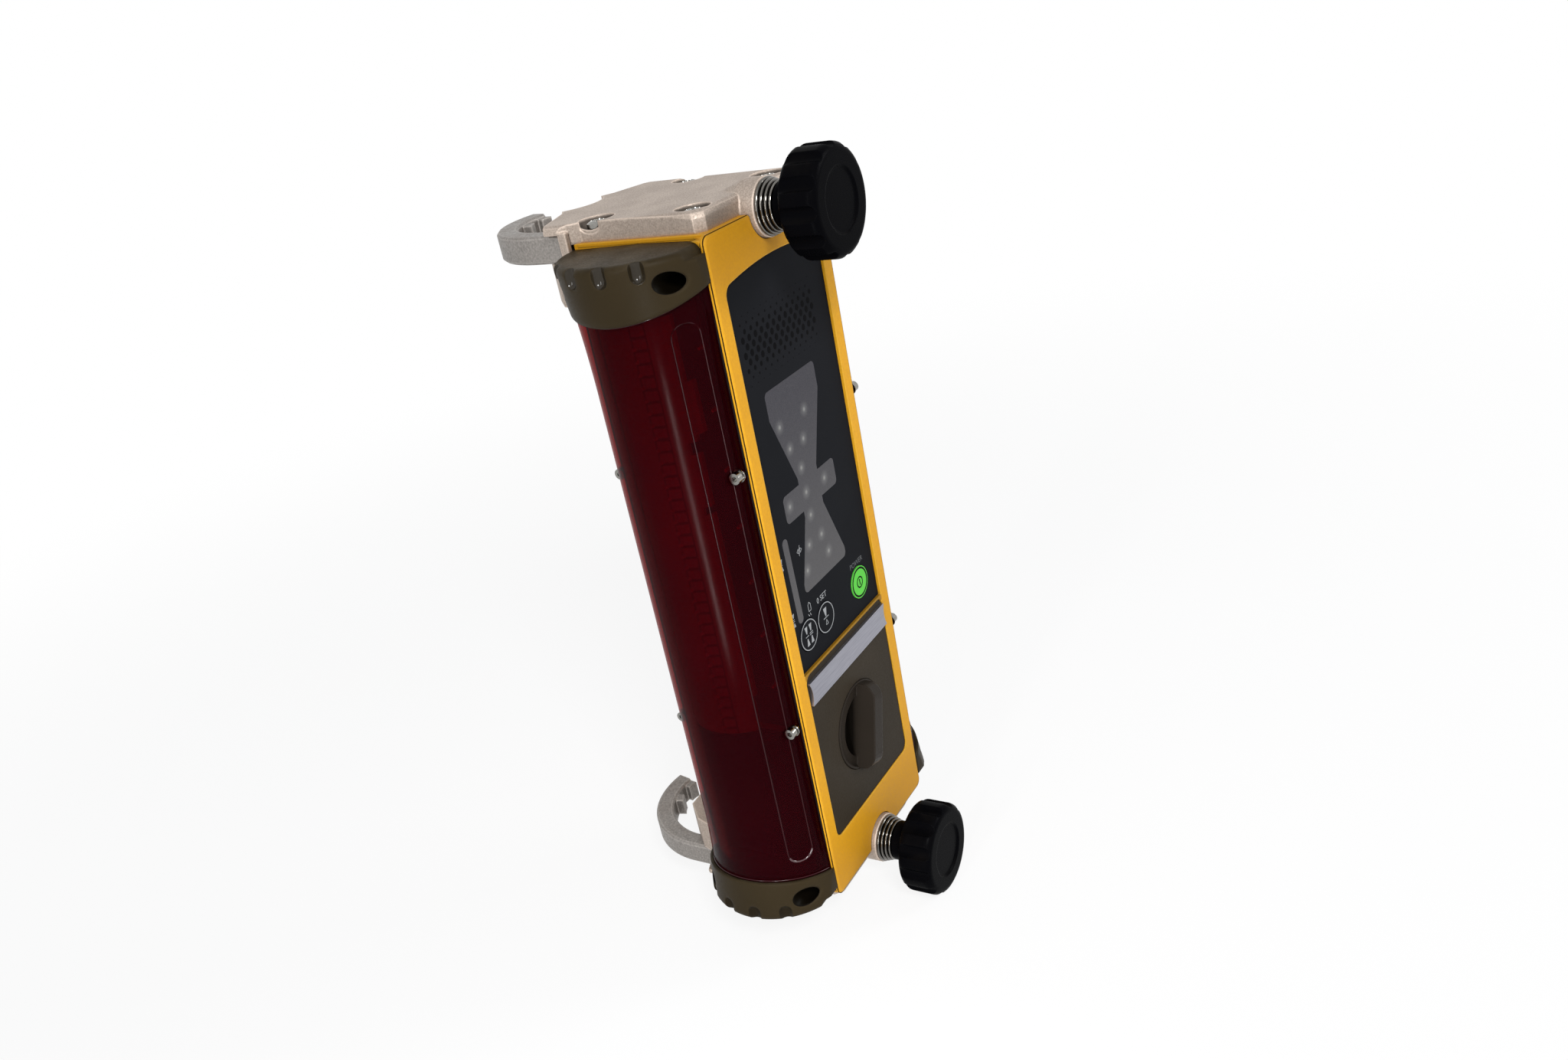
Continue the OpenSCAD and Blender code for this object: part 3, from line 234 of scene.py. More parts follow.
def make_edges():
    """Edges softened over a width: the rounded normal, and a mask that is 1 on the edge itself, which the
    finishes use to paint a highlight along edges.
    """
    net, given, out = effect("rounded_edges", [("Width", FLOAT, 0.001)], [("Mask", FLOAT), ("Normal", VECTOR)])
    soft = net.add("ShaderNodeBevel", {"Radius": given["Width"]}, samples=6).outputs[0]
    flat = net.add("ShaderNodeNewGeometry").outputs["True Normal"]
    out("Mask", net.fit(net.vector("DOT_PRODUCT", soft, flat), 0.995, 0.86))
    out("Normal", soft)
    return net.tree


GRAIN, DUST, DRAWN, EDGES = make_grain(), make_dust(), make_drawn(), make_edges()


# Finishes


class Finish:
    """One material: a Principled shader whose colour, roughness and bump come from the shared groups."""

    def __init__(self, name, **plain):
        self.name = name
        self.material = bpy.data.materials.new(name)
        self.material.use_nodes = True
        self.net = Net(self.material.node_tree)
        self.shader = self.net.tree.nodes["Principled BSDF"]
        self.place = self.net.add("ShaderNodeTexCoord").outputs["Object"]
        for label, value in plain.items():
            self.shader.inputs[label.replace("_", " ")].default_value = value

    def spot(self):
        """The x, the depth behind the front plane and the z of a point, in metres."""
        x, y, z = self.net.split(self.place)
        return x, self.net.math("SUBTRACT", y, FRONT), z

    def group(self, tree, **values):
        """Places a shared group with values of its own."""
        node = self.net.add("ShaderNodeGroup", node_tree=tree)
        if "Place" in node.inputs:
            self.net.tree.links.new(self.place, node.inputs["Place"])
        for label, value in values.items():
            node.inputs[label].default_value = value
        return node.outputs

    def feed(self, label, socket):
        self.net.tree.links.new(socket, self.shader.inputs[label])

    def roughness(self, value, low, high):
        """Roughness that goes from low to high as a value goes from 0 to 1."""
        self.feed("Roughness", self.net.fit(value, 0.0, 1.0, low, high))

    def bump(self, height, strength, distance, normal=None):
        """Fine relief, laid over a softened normal where one is given."""
        node = self.net.add("ShaderNodeBump", {"Strength": strength, "Distance": distance, "Height": height})
        if normal is not None:
            self.net.tree.links.new(normal, node.inputs["Normal"])
        self.feed("Normal", node.outputs[0])


def rgb(red, green, blue):
    """A colour given as on screen, as linear values."""
    def line(v):
        v /= 255.0
        return v / 12.92 if v <= 0.04045 else ((v + 0.055) / 1.055) ** 2.4
    return (line(red), line(green), line(blue), 1.0)


def scaled(colour, share):
    """The same colour, darker or paler."""
    return tuple(min(1.0, c * share) for c in colour[:3]) + (1.0,)


def moulded(name, colour, low, high, scale, depth, gloss=0.5, dust=0.0, spread=0.12, edge=0.0, shade=None,
            sheen=0.0, **plain):
    """Plastic, rubber or print with grain: the colour drifts a little, the roughness runs from low to high with
    the speckle, and depth is the height of the grain in metres."""
    made = Finish(name, Specular_IOR_Level=gloss, **plain)
    net = made.net
    grain = made.group(GRAIN, Scale=scale)
    tint = net.mix(grain["Tone"], scaled(colour, 1 - spread), scaled(colour, 1 + spread))
    soft = None
    if edge:
        rounded_edge_and_highlight = made.group(EDGES, Width=edge)
        soft = rounded_edge_and_highlight["Normal"]
        # painted highlight: the edges are lightened where a rounded edge would catch light
        tint = net.mix(rounded_edge_and_highlight["Mask"], tint, scaled(colour, 1.7), 0.3)
    if dust:
        tint = net.mix(made.group(DUST, Amount=dust)["Mask"], tint, rgb(150, 135, 113))
    if shade:
        spot = made.spot()
        hollow_shade = shade(net, spot)
        # painted shade in the hollows that the shade mask gives
        tint = net.mix(hollow_shade, tint, scaled(colour, 0.12))
        if sheen:  # only in the dimples of the upper half, which see the lamps
            dimple = net.math("COMPARE", hollow_shade, DIMPLE_SHADE, 0.1)
            made.feed("Coat Weight", net.times(dimple, net.over(spot[2], 5.0, 5.0), sheen))
    made.feed("Base Color", tint)
    made.roughness(grain["Speckle"], low, high)
    made.bump(grain["Height"], 0.35, depth, soft)
    return made


def cap_wells(net, spot):
    """Painted shade: 1 inside the screw wells of the end caps, where no light reaches, and less in the grip
    dimples.
    """
    x, depth, z = spot
    across = net.math("SUBTRACT", depth, AXIS_Y * MM)
    high = net.math("ABSOLUTE", z)
    beside = net.join(0.0, net.math("ABSOLUTE", across), high)
    deep = net.under(net.vector("DISTANCE", beside, (0, CAP_SCREW_ASIDE * MM, CAP_SCREW_Z * MM)), CAP_WELL_R)
    out = net.math("SUBTRACT", net.math("ABSOLUTE", x), AXIS_X * MM)
    below = net.math("MINIMUM", net.math("SUBTRACT", high, DIMPLE_LOW * MM), 0.0)
    flat = net.join(out, across, below)
    for degrees in DIMPLE_TURNS:
        turn = math.radians(degrees)
        middle = (DIMPLE_OUT * MM * math.cos(turn), -DIMPLE_OUT * MM * math.sin(turn), 0)
        dimple = net.under(net.vector("DISTANCE", flat, middle), DIMPLE_R)
        deep = net.math("MAXIMUM", deep, net.times(dimple, DIMPLE_SHADE))
    return deep


def plate_wells(net, spot):
    """Painted shade: 1 down in the screw wells of the clamp plates."""
    x, depth, z = spot
    wide = net.math("ABSOLUTE", x)
    flat = net.join(wide, depth)
    away = [net.vector("DISTANCE", flat, (well_x * MM, well_y * MM, 0)) for well_x, well_y in WELLS]
    inside = net.under(net.math("MINIMUM", *away), WELL_R, 0.1)
    low = net.under(net.math("ABSOLUTE", z), WELL_TOP, 0.75)
    return net.times(inside, low, net.under(wide, PLATE_HALF - 0.15))


def dial_pockets(net, spot):
    """Painted shade that grows down into the finger pockets of the dial."""
    return net.times(net.over(spot[1], 2.1, 1.1), 0.85)


def metal(name, colour, low, high, stretch, scale, depth, dark=0.82):
    """Bare metal with drawn or turned lines, with painted shade in the recesses of screw heads."""
    made = Finish(name, Metallic=1.0)
    net = made.net
    drawn = made.group(DRAWN, Stretch=stretch, Scale=scale)
    tint = net.mix(drawn["Lines"], scaled(colour, dark), colour)
    cut = net.add("ShaderNodeAttribute", attribute_name="recess").outputs["Fac"]
    # painted shade: the cross recesses of screw heads are darkened
    made.feed("Base Color", net.mix(cut, tint, scaled(colour, 0.06)))
    made.roughness(drawn["Lines"], high, low)
    made.bump(drawn["Height"], 0.25, depth)
    return made


def blasted(name, colour, low, high, scale, depth):
    """Cast metal, bead blasted: matt bright speckle over a slow drift of tone, with painted highlights along
    the edges and painted shade down in the plates' screw wells.
    """
    made = Finish(name, Metallic=0.7, Specular_IOR_Level=0.25)
    net = made.net
    grain = made.group(GRAIN, Scale=scale, Drift=22.0)
    tint = net.mix(grain["Tone"], scaled(colour, 0.84), colour)
    tint = net.mix(grain["Speckle"], scaled(colour, 0.72), net.mix(0.5, tint, scaled(colour, 1.25)))
    tint = net.mix(made.group(DUST, Amount=0.26)["Mask"], tint, rgb(112, 98, 88))
    rounded_edge_and_highlight = made.group(EDGES, Width=0.0016)
    # painted highlight: the edges are lightened where a rounded edge would catch light
    tint = net.mix(rounded_edge_and_highlight["Mask"], tint, scaled(colour, 1.8), 0.7)
    # painted shade: darker down in the screw wells of the clamp plates
    made.feed("Base Color", net.mix(plate_wells(net, made.spot()), tint, scaled(colour, 0.28)))
    made.roughness(grain["Speckle"], high, low)
    made.bump(grain["Height"], 0.5, depth, rounded_edge_and_highlight["Normal"])
    return made


def yellow_paint():
    """Satin yellow paint with a fine spray grain and painted highlights along its edges; a painted shadow on
    the rib under the bar, painted shade towards both ends where the knobs' shadows fall, and near black on the
    sides behind the windows.
    """
    made = Finish("yellow_paint", Specular_IOR_Level=0.12)
    net = made.net
    x, depth, z = made.spot()
    wide = net.math("ABSOLUTE", x)
    grain = made.group(GRAIN, Scale=950.0, Drift=9.0)
    tint = net.mix(grain["Tone"], rgb(203, 146, 27), rgb(217, 159, 36))
    tint = net.mix(grain["Speckle"], net.mix(0.74, rgb(168, 112, 14), tint), tint)
    tint = net.mix(made.group(DUST, Amount=0.15)["Mask"], tint, rgb(190, 150, 80))
    rounded_edge_and_highlight = made.group(EDGES, Width=0.0009)
    # painted highlight: the edges are lightened where a rounded edge would catch light
    tint = net.mix(rounded_edge_and_highlight["Mask"], tint, rgb(252, 206, 84), 0.5)
    # painted shadow of the bar on the rib between the panel and the battery door
    sill = net.math("COMPARE", z, SILL_Z * MM, SILL_HALF * MM)
    sill = net.times(sill, net.under(wide, SILL_REACH, 0.5), net.under(depth, SILL_DEEP, 1.0))
    tint = net.mix(sill, tint, rgb(70, 46, 10), 0.6)
    # painted shade towards both ends of the front, where the knobs cast their shadows
    ends = net.over(net.math("ABSOLUTE", z), 150.0, 15.0)
    tint = net.mix(ends, tint, rgb(150, 100, 8), 0.34)
    dark_side = net.times(net.over(wide, MASK_X, 0.1), net.over(depth, MASK_Y, 0.025))
    made.feed("Base Color", net.mix(dark_side, tint, rgb(16, 13, 13)))
    made.roughness(grain["Speckle"], 0.42, 0.55)
    made.bump(grain["Height"], 0.2, 0.00005, rounded_edge_and_highlight["Normal"])
    return made


def window_red():
    """Deep red clear plastic: most light passes tinted red, the rest shows its own dark body and gloss."""
    made = Finish("window_red", Specular_IOR_Level=0.8, Transmission_Weight=0.3, IOR=1.1)
    net = made.net
    grain = made.group(GRAIN, Scale=220.0, Drift=10.0)
    made.feed("Base Color", net.mix(grain["Tone"], (0.026, 0.0008, 0.0026, 1), (0.034, 0.001, 0.0032, 1)))
    made.roughness(grain["Tone"], 0.13, 0.17)
    # An even normal, straight out from the window's axis, where the face is round
    x, depth, _ = made.spot()
    aside = net.math("MULTIPLY_ADD", net.math("SIGN", x), -AXIS_X * MM, x)
    out = net.vector("NORMALIZE", net.join(aside, net.math("SUBTRACT", depth, AXIS_Y * MM)))
    face = net.add("ShaderNodeNewGeometry").outputs
    same = net.fit(net.vector("DOT_PRODUCT", out, face["True Normal"]), 0.985, 0.992)
    even = net.add("ShaderNodeMix", {0: same, 4: face["Normal"], 5: out}, data_type="VECTOR")
    made.feed("Normal", even.outputs[1])
    clear = net.add("ShaderNodeBsdfTransparent", {"Color": (0.68, 0.006, 0.016, 1)})
    net.blend(0.48, clear, made.shader)
    return made


def guide_red():
    """Red light guide behind the window: a fine weave, and dark outlines of the sensors it covers, painted as
    their shadows.
    """
    made = Finish("guide_red", Specular_IOR_Level=0.1)
    net = made.net
    _, y, z = net.split(made.place)

    def wave(length, period):
        turns = net.times(length, 2 * math.pi / (period * MM))
        return net.fit(net.math("SINE", turns), -1.0, 1.0)

    weave = net.times(wave(z, 1.6), wave(y, 2.2))
    aside = net.math("ABSOLUTE", net.math("SUBTRACT", y, FRONT + LADDER_Y * MM))
    rung = net.math("PINGPONG", net.math("ADD", z, 0.5), RUNG_STEP * MM)
    ladder = net.times(net.math("LESS_THAN", aside, LADDER_HALF * MM), net.under(rung, 0.7, 0.2))
    rails = net.math("COMPARE", aside, LADDER_RAIL * MM, 0.3 * MM)
    grain = made.group(GRAIN, Scale=300.0, Drift=16.0)
    tint = net.mix(grain["Tone"], (0.50, 0.02, 0.03, 1), (0.66, 0.03, 0.045, 1))
    tint = net.mix(weave, tint, (0.30, 0.01, 0.02, 1), 0.35)
    # painted shadow: the sensors behind the guide darken it along the ladder and its rails
    made.feed("Base Color", net.mix(net.math("MAXIMUM", ladder, rails), tint, (0.12, 0.004, 0.01, 1), 0.6))
    made.roughness(grain["Speckle"], 0.45, 0.6)
    made.bump(weave, 0.4, 0.0003)
    return made


def display_grey():
    """Smoked diffuser over the lamps: each lamp shows as a soft pale spot with a small bright core."""
    made = Finish("display_grey", Specular_IOR_Level=0.03)
    net = made.net
    grain = made.group(GRAIN, Scale=2600.0, Drift=30.0)
    glow = core = 0.0
    for x, z in LAMPS:
        gap = net.vector("DISTANCE", made.place, place(x, PANEL_FACE, z))
        glow = net.math("MAXIMUM", glow, net.fit(gap, LAMP_HALO * MM, 0.0, smooth=True))
        core = net.math("MAXIMUM", core, net.fit(gap, LAMP_CORE * MM, 0.2 * MM, smooth=True))
    low = net.under(made.spot()[2], 40.0, 50.0)
    tint = net.mix(low, rgb(60, 59, 64), rgb(81, 80, 81))
    tint = net.mix(grain["Speckle"], tint, rgb(112, 111, 113), 0.18)
    tint = net.mix(glow, tint, rgb(168, 168, 166), 0.19)
    made.feed("Base Color", net.mix(core, tint, rgb(206, 206, 198), 0.2))
    made.roughness(grain["Speckle"], 0.4, 0.5)
    made.bump(grain["Height"], 0.2, 0.00003)
    return made


def cell_wrap():
    """Shrink-sleeved cells: a dark green sleeve, with bare nickel at the nub end."""
    made = Finish("cell_wrap", Coat_Weight=0.4, Coat_Roughness=0.15)
    net = made.net
    grain = made.group(GRAIN, Scale=700.0, Drift=20.0)
    sleeve = net.over(made.spot()[1], SLEEVE_Y, 0.1)
    tint = net.mix(grain["Tone"], rgb(40, 78, 62), rgb(50, 92, 74))
    made.feed("Base Color", net.mix(sleeve, rgb(176, 170, 150), tint))
    made.roughness(grain["Speckle"], 0.28, 0.36)
    made.bump(grain["Height"], 0.15, 0.00004)
    return made


def ink(name, colour, low, high, gloss=0.03):
    """Screen print."""
    return moulded(name, colour, low, high, 2600.0, 0.00001, gloss, spread=0.08)


finishes = {made.name: made for made in (
    yellow_paint(),
    window_red(),
    guide_red(),
    display_grey(),
    cell_wrap(),
    moulded("cap_olive", rgb(45, 37, 23), 0.36, 0.48, 1100.0, 0.00006, 0.05, dust=0.1, edge=0.003,
            shade=cap_wells, sheen=0.6, Coat_Roughness=0.12),
    moulded("door_olive", rgb(49, 43, 35), 0.40, 0.55, 1000.0, 0.00007, 0.04, dust=0.03, edge=0.0008),
    moulded("dial_olive", rgb(38, 33, 28), 0.32, 0.46, 1000.0, 0.00006, 0.06, edge=0.0012, shade=dial_pockets),
    moulded("knob_black", rgb(6, 6, 8), 0.22, 0.32, 1300.0, 0.00005, 0.008, dust=0.01, edge=0.0012),
    moulded("seal_black", rgb(18, 18, 18), 0.7, 0.82, 900.0, 0.00004, 0.05),
    moulded("panel_black", rgb(25, 26, 29), 0.42, 0.55, 2400.0, 0.00002, 0.012, spread=0.1),
    moulded("tray_black", rgb(30, 30, 30), 0.55, 0.68, 900.0, 0.00006, 0.1),
    moulded("diode_black", rgb(40, 20, 22), 0.15, 0.25, 500.0, 0.00002),
    moulded("board_green", rgb(20, 48, 30), 0.3, 0.42, 600.0, 0.00003),
    moulded("power_green", rgb(88, 190, 68), 0.34, 0.44, 1600.0, 0.00003, 0.06, spread=0.06),
    moulded("bead_red", (0.02, 0.001, 0.0025, 1), 0.12, 0.2, 900.0, 0.00001, 0.22),
    moulded("gleam_red", (0.03, 0.002, 0.004, 1), 0.06, 0.12, 900.0, 0.00001, 1.0),
    # partly painted highlight: the guide's red made brighter, standing in for the lit edges of the teeth and
    # the glints of the pins
    moulded("tooth_red", (0.80, 0.02, 0.03, 1), 0.2, 0.3, 900.0, 0.00002, 0.3),
    moulded("seam_dark", rgb(38, 26, 8), 0.6, 0.75, 1500.0, 0.00002, 0.05),
    ink("print_white", rgb(150, 152, 154), 0.5, 0.62),
    ink("print_dim", rgb(92, 94, 96), 0.5, 0.62),
    ink("print_dark", rgb(14, 20, 14), 0.45, 0.6),
    ink("print_dot", rgb(9, 9, 11), 0.3, 0.42, 0.012),
    blasted("bracket_cast", rgb(179, 165, 153), 0.46, 0.64, 1300.0, 0.00012),
    blasted("hook_cast", rgb(145, 140, 135), 0.42, 0.58, 900.0, 0.00014),
    metal("screw_steel", rgb(150, 148, 143), 0.10, 0.22, (1.0, 0.15, 0.15), 900.0, 0.00003),
    metal("washer_chrome", rgb(124, 121, 116), 0.06, 0.16, (0.2, 1.0, 0.2), 700.0, 0.00002, dark=0.5),
    metal("rod_steel", rgb(170, 167, 161), 0.22, 0.38, (0.1, 1.0, 0.1), 900.0, 0.00003),
    metal("bar_silver", rgb(158, 158, 168), 0.32, 0.46, (0.05, 1.0, 1.0), 1400.0, 0.00003),
    metal("contact_nickel", rgb(198, 186, 150), 0.2, 0.34, (0.3, 1.0, 0.3), 800.0, 0.00002),
)}

for entry in frame["record"]["subparts"]:
    mesh = nodes[entry["node"]].data
    mesh.materials.clear()
    mesh.materials.append(finishes[entry["material_slot"]].material)
nodes["lock_dial"].data.materials[0] = finishes["dial_olive"].material


# Meshes and pieces


def keep(mesh, name, finish, body, replaced=()):
    """Puts a finished mesh in the scene as a piece that rides on a body."""
    mesh.materials.clear()
    mesh.materials.append(finishes[finish].material)
    piece = bpy.data.objects.new(name, mesh)
    scene.collection.objects.link(piece)
    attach(piece, body)
    if replaced:
        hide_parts(*replaced)


def mesh_of(bm, name):
    """Ends a bmesh: its faces are turned outwards and it becomes a plain mesh."""
    bmesh.ops.recalc_face_normals(bm, faces=bm.faces)
    mesh = bpy.data.meshes.new(name)
    bm.to_mesh(mesh)
    bm.free()
    return mesh


def loft(bm, loops):
    """Closes a row of loops of points into one solid."""
    for a, b in zip(loops, loops[1:]):
        for i in range(len(a)):
            k = (i + 1) % len(a)
            bm.faces.new((a[i], a[k], b[k], b[i]))
    bm.faces.new(loops[0])
    bm.faces.new(loops[-1])


def smooth(mesh, degrees=35):
    """Soft shading across faces that meet at less than the given angle."""
    mesh.polygons.foreach_set("use_smooth", [True] * len(mesh.polygons))
    mesh.set_sharp_from_angle(angle=math.radians(degrees))
    return mesh


def turned(name, sections, z, steps=40):
    """Round pieces about the line x = 0 at height z, each from its section in y and radius."""
    bm = bmesh.new()
    for section in sections:
        points = [bm.verts.new(place(0, y, z + r)) for y, r in section]
        pairs = list(zip(points, points[1:]))
        if section[0][1]:
            pairs.append((points[-1], points[0]))
        edges = [bm.edges.new(pair) for pair in pairs]
        bmesh.ops.spin(bm, geom=points + edges, cent=place(0, 0, z), axis=(0, 1, 0), angle=2 * math.pi,
                       steps=steps)
    bmesh.ops.remove_doubles(bm, verts=bm.verts, dist=1e-6)
    return mesh_of(bm, name)


def line_mesh(name, points, closed):
    """Points joined in a row, or in a ring where it is closed."""
    mesh = bpy.data.meshes.new(name)
    pairs = [(i, i + 1) for i in range(len(points) - 1)]
    if closed:
        pairs.append((len(points) - 1, 0))
    mesh.from_pydata(points, pairs, [])
    return mesh


def plain_mesh(work):
    """The mesh that an object in the scene shows; the object itself is taken away."""
    scene.collection.objects.link(work)
    mesh = bpy.data.meshes.new_from_object(work.evaluated_get(bpy.context.evaluated_depsgraph_get()))
    bpy.data.objects.remove(work)
    return mesh


# Rows and runs made with Geometry Nodes


def growing(name, inputs):
    """A geometry tree with named inputs; gives its net, its inputs, its end and the inputs' identifiers."""
    tree = bpy.data.node_groups.new(name, "GeometryNodeTree")
    face = tree.interface
    face.new_socket("Geometry", in_out="INPUT", socket_type="NodeSocketGeometry")
    keys = {}
    for label, kind, value in inputs:
        socket = face.new_socket(label, in_out="INPUT", socket_type=kind)
        if value is not None:
            socket.default_value = value
        keys[label] = socket.identifier
    face.new_socket("Geometry", in_out="OUTPUT", socket_type="NodeSocketGeometry")
    net = Net(tree)
    given = net.add("NodeGroupInput").outputs
    leave = net.add("NodeGroupOutput")

    def end(geometry):
        real = net.add("GeometryNodeRealizeInstances", {0: geometry})
        tree.links.new(real.outputs[0], leave.inputs[0])

    return net, given, end, keys


def grown(tree, keys, name, start=None, **values):
    """Runs a tree on a start mesh with the given sizes, and gives the plain mesh that comes out."""
    work = bpy.data.objects.new(name + "_work", start or bpy.data.meshes.new(name + "_start"))
    modifier = work.modifiers.new("grow", "NODES")
    modifier.node_group = tree
    for label, value in values.items():
        modifier[keys[label]] = value
    mesh = plain_mesh(work)
    mesh.name = name
    return mesh


def make_dots():
    """A staggered field of flat dots on the panel: full size in the middle rows, fading up and down."""
    net, given, end, keys = growing("dot_field", [
        ("Columns", WHOLE, 10), ("Rows", WHOLE, 9), ("Pitch", FLOAT, 0.006), ("Row", FLOAT, 0.0035),
        ("Largest", FLOAT, 0.0015), ("Thickness", FLOAT, 0.00005), ("Middle", VECTOR, None),
    ])
    wide = net.times(net.math("SUBTRACT", given["Columns"], 1.0), given["Pitch"])
    high = net.times(net.math("SUBTRACT", given["Rows"], 1.0), given["Row"])
    grid = net.add("GeometryNodeMeshGrid", {
        "Size X": wide, "Size Y": high, "Vertices X": given["Columns"], "Vertices Y": given["Rows"]})
    up = net.split(net.add("GeometryNodeInputPosition").outputs[0])[1]
    row = net.math("ROUND", net.math("ADD", net.math("DIVIDE", up, given["Row"]), 100.0))
    shift = net.join(net.times(net.math("MODULO", row, 2.0), given["Pitch"], 0.5))
    points = net.add("GeometryNodeSetPosition", {"Geometry": grid.outputs[0], "Offset": shift})
    off = net.math("DIVIDE", net.math("ABSOLUTE", up), net.times(high, 0.5))
    size = net.times(net.fit(off, 1.02, 0.25, 0.18, 1.0, smooth=True), given["Largest"])
    dot = net.add("GeometryNodeMeshCylinder", {"Vertices": 8, "Radius": 1.0, "Depth": given["Thickness"]})
    many = net.add("GeometryNodeInstanceOnPoints", {
        "Points": points.outputs[0], "Instance": dot.outputs[0],
        "Scale": net.join(size, net.times(size, 1.15), 1.0)})
    laid = net.add("GeometryNodeTransform", {
        "Geometry": many.outputs[0], "Translation": given["Middle"], "Rotation": (math.pi / 2, 0, 0)})
    end(laid.outputs[0])
    return net.tree, keys


def make_row():
    """A straight row of tapered pegs."""
    net, given, end, keys = growing("peg_row", [
        ("Count", WHOLE, 8), ("Start", VECTOR, None), ("Step", VECTOR, None), ("Turn", VECTOR, None),
        ("Foot", FLOAT, 0.001), ("Tip", FLOAT, 0.0005), ("Height", FLOAT, 0.001), ("Sides", WHOLE, 8),
    ])
    line = net.add("GeometryNodeMeshLine", {
        "Count": given["Count"], "Start Location": given["Start"], "Offset": given["Step"]})
    peg = net.add("GeometryNodeMeshCone", {
        "Vertices": given["Sides"], "Radius Bottom": given["Foot"], "Radius Top": given["Tip"],
        "Depth": given["Height"]})
    many = net.add("GeometryNodeInstanceOnPoints", {
        "Points": line.outputs[0], "Instance": peg.outputs[0], "Rotation": given["Turn"]})
    end(many.outputs[0])
    return net.tree, keys


def swept(net, path, sides, radius):
    """A bar that follows a curve, closed at its ends."""
    section = net.add("GeometryNodeCurvePrimitiveCircle", {"Resolution": sides, "Radius": radius})
    bar = net.add("GeometryNodeCurveToMesh", {
        "Curve": path, "Profile Curve": section.outputs[0], "Fill Caps": True})
    return bar.outputs[0]


def make_thread():
    """Winds a ridge round a turned rod along +Y."""
    net, given, end, keys = growing("thread_ridge", [
        ("Start", VECTOR, None), ("Length", FLOAT, 0.02), ("Pitch", FLOAT, 0.00125), ("Radius", FLOAT, 0.004),
        ("Ridge", FLOAT, 0.0005),
    ])
    turns = net.math("DIVIDE", given["Length"], given["Pitch"])
    reach = net.math("SUBTRACT", given["Radius"], given["Ridge"])
    path = net.add("GeometryNodeCurveSpiral", {
        "Resolution": 24, "Rotations": turns, "Start Radius": reach, "End Radius": reach,
        "Height": given["Length"]})
    upright = net.add("GeometryNodeSetCurveNormal", {"Curve": path.outputs[0]}, mode="Z_UP")
    ridge = swept(net, upright.outputs[0], 4, given["Ridge"])
    laid = net.add("GeometryNodeTransform", {
        "Geometry": ridge, "Translation": given["Start"], "Rotation": (-math.pi / 2, 0, 0)})
    both = net.add("GeometryNodeJoinGeometry")
    net.tree.links.new(given["Geometry"], both.inputs[0])
    net.tree.links.new(laid.outputs[0], both.inputs[0])
    end(both.outputs[0])
    return net.tree, keys


def make_bead():
    """A round bead that follows a line of points."""
    net, given, end, keys = growing("bead_run", [("Radius", FLOAT, 0.0004), ("Sides", WHOLE, 8)])
    path = net.add("GeometryNodeMeshToCurve", {"Mesh": given["Geometry"]})
    end(swept(net, path.outputs[0], given["Sides"], given["Radius"]))
    return net.tree, keys


def make_set():
    """Sets one piece at every point, each turned as the point's own turn says."""
    net, given, end, keys = growing("set_out", [("Piece", "NodeSocketObject", None)])
    info = net.add("GeometryNodeObjectInfo", {"Object": given["Piece"], "As Instance": True})
    turn = net.add("GeometryNodeInputNamedAttribute", {"Name": "turn"}, data_type="FLOAT_VECTOR")
    many = net.add("GeometryNodeInstanceOnPoints", {
        "Points": given["Geometry"], "Instance": info.outputs["Geometry"], "Rotation": turn.outputs[0]})
    end(many.outputs[0])
    return net.tree, keys


def set_points(name, spots):
    """A mesh of points from pairs of place and turn."""
    mesh = bpy.data.meshes.new(name)
    mesh.from_pydata([spot for spot, turn in spots], [], [])
    held = mesh.attributes.new("turn", "FLOAT_VECTOR", "POINT")
    for i, (spot, turn) in enumerate(spots):
        held.data[i].vector = turn
    return mesh


# Fitted pieces


def rod_section():
    """A plain shank, then the thinner part that carries the thread, with a chamfered end."""
    root, bevel, point = ROD_R - THREAD_RIDGE - 0.1, 0.6, 0.9
    return [(ROD_FRONT, 0.0), (ROD_FRONT, ROD_R - bevel), (ROD_FRONT + bevel, ROD_R),
            (THREAD_START - bevel, ROD_R), (THREAD_START, root), (ROD_BACK - point, root),
            (ROD_BACK, root - point), (ROD_BACK, 0.0)]


def fit_rods():
    """Clamp rods with a thread where the hooks run on them."""
    tree, keys = make_thread()
    length = ROD_BACK - 1.6 - THREAD_START
    for side, end in ENDS:
        z = end * ROD_Z
        name = side + "_threaded_rod"
        mesh = grown(tree, keys, name, turned(side + "_core", [rod_section()], z, 32),
                     Start=place(0, THREAD_START, z), Length=length * MM, Pitch=THREAD_PITCH * MM,
                     Radius=ROD_R * MM, Ridge=THREAD_RIDGE * MM)
        keep(mesh, name, "rod_steel", side + "_knob", [side + "_rod"])


def ring_section(front, back, inner, outer):
    """A washer with a round outer edge."""
    half = (back - front) / 2
    edge = [(front + half - half * math.cos(a), outer - half + half * math.sin(a))
            for a in (math.pi * i / 8 for i in range(9))]
    return [(front, inner)] + edge + [(back, inner)]


def fit_washers():
    """The stack of bright washers between each knob and the housing."""
    for side, end in ENDS:
        rings = []
        for i in range(WASHERS):
            back = WASHER_BACK - i * WASHER_STEP
            rings.append(ring_section(back - WASHER_T, back, ROD_R + 0.4, WASHER_R - i * WASHER_FALL))
        name = side + "_washer_stack"
        mesh = smooth(turned(name, rings, end * ROD_Z, 56))
        keep(mesh, name, "washer_chrome", "base", [side + "_washers"])


def fit_dial_rim():
    """A low rim round the lock dial, half round at the front and set a little into the dial's face."""
    inner, foot = DIAL_R - 1.7, DIAL_FACE + 0.05
    rim = [(y, r) for y, r in ring_section(DIAL_FACE - 0.7, DIAL_FACE + 0.1, inner, DIAL_R) if y < DIAL_FACE]
    rim += [(foot, DIAL_R), (foot, inner)]
    keep(smooth(turned("dial_rim", [rim], DIAL_Z, 72)), "dial_rim", "dial_olive", "lock")


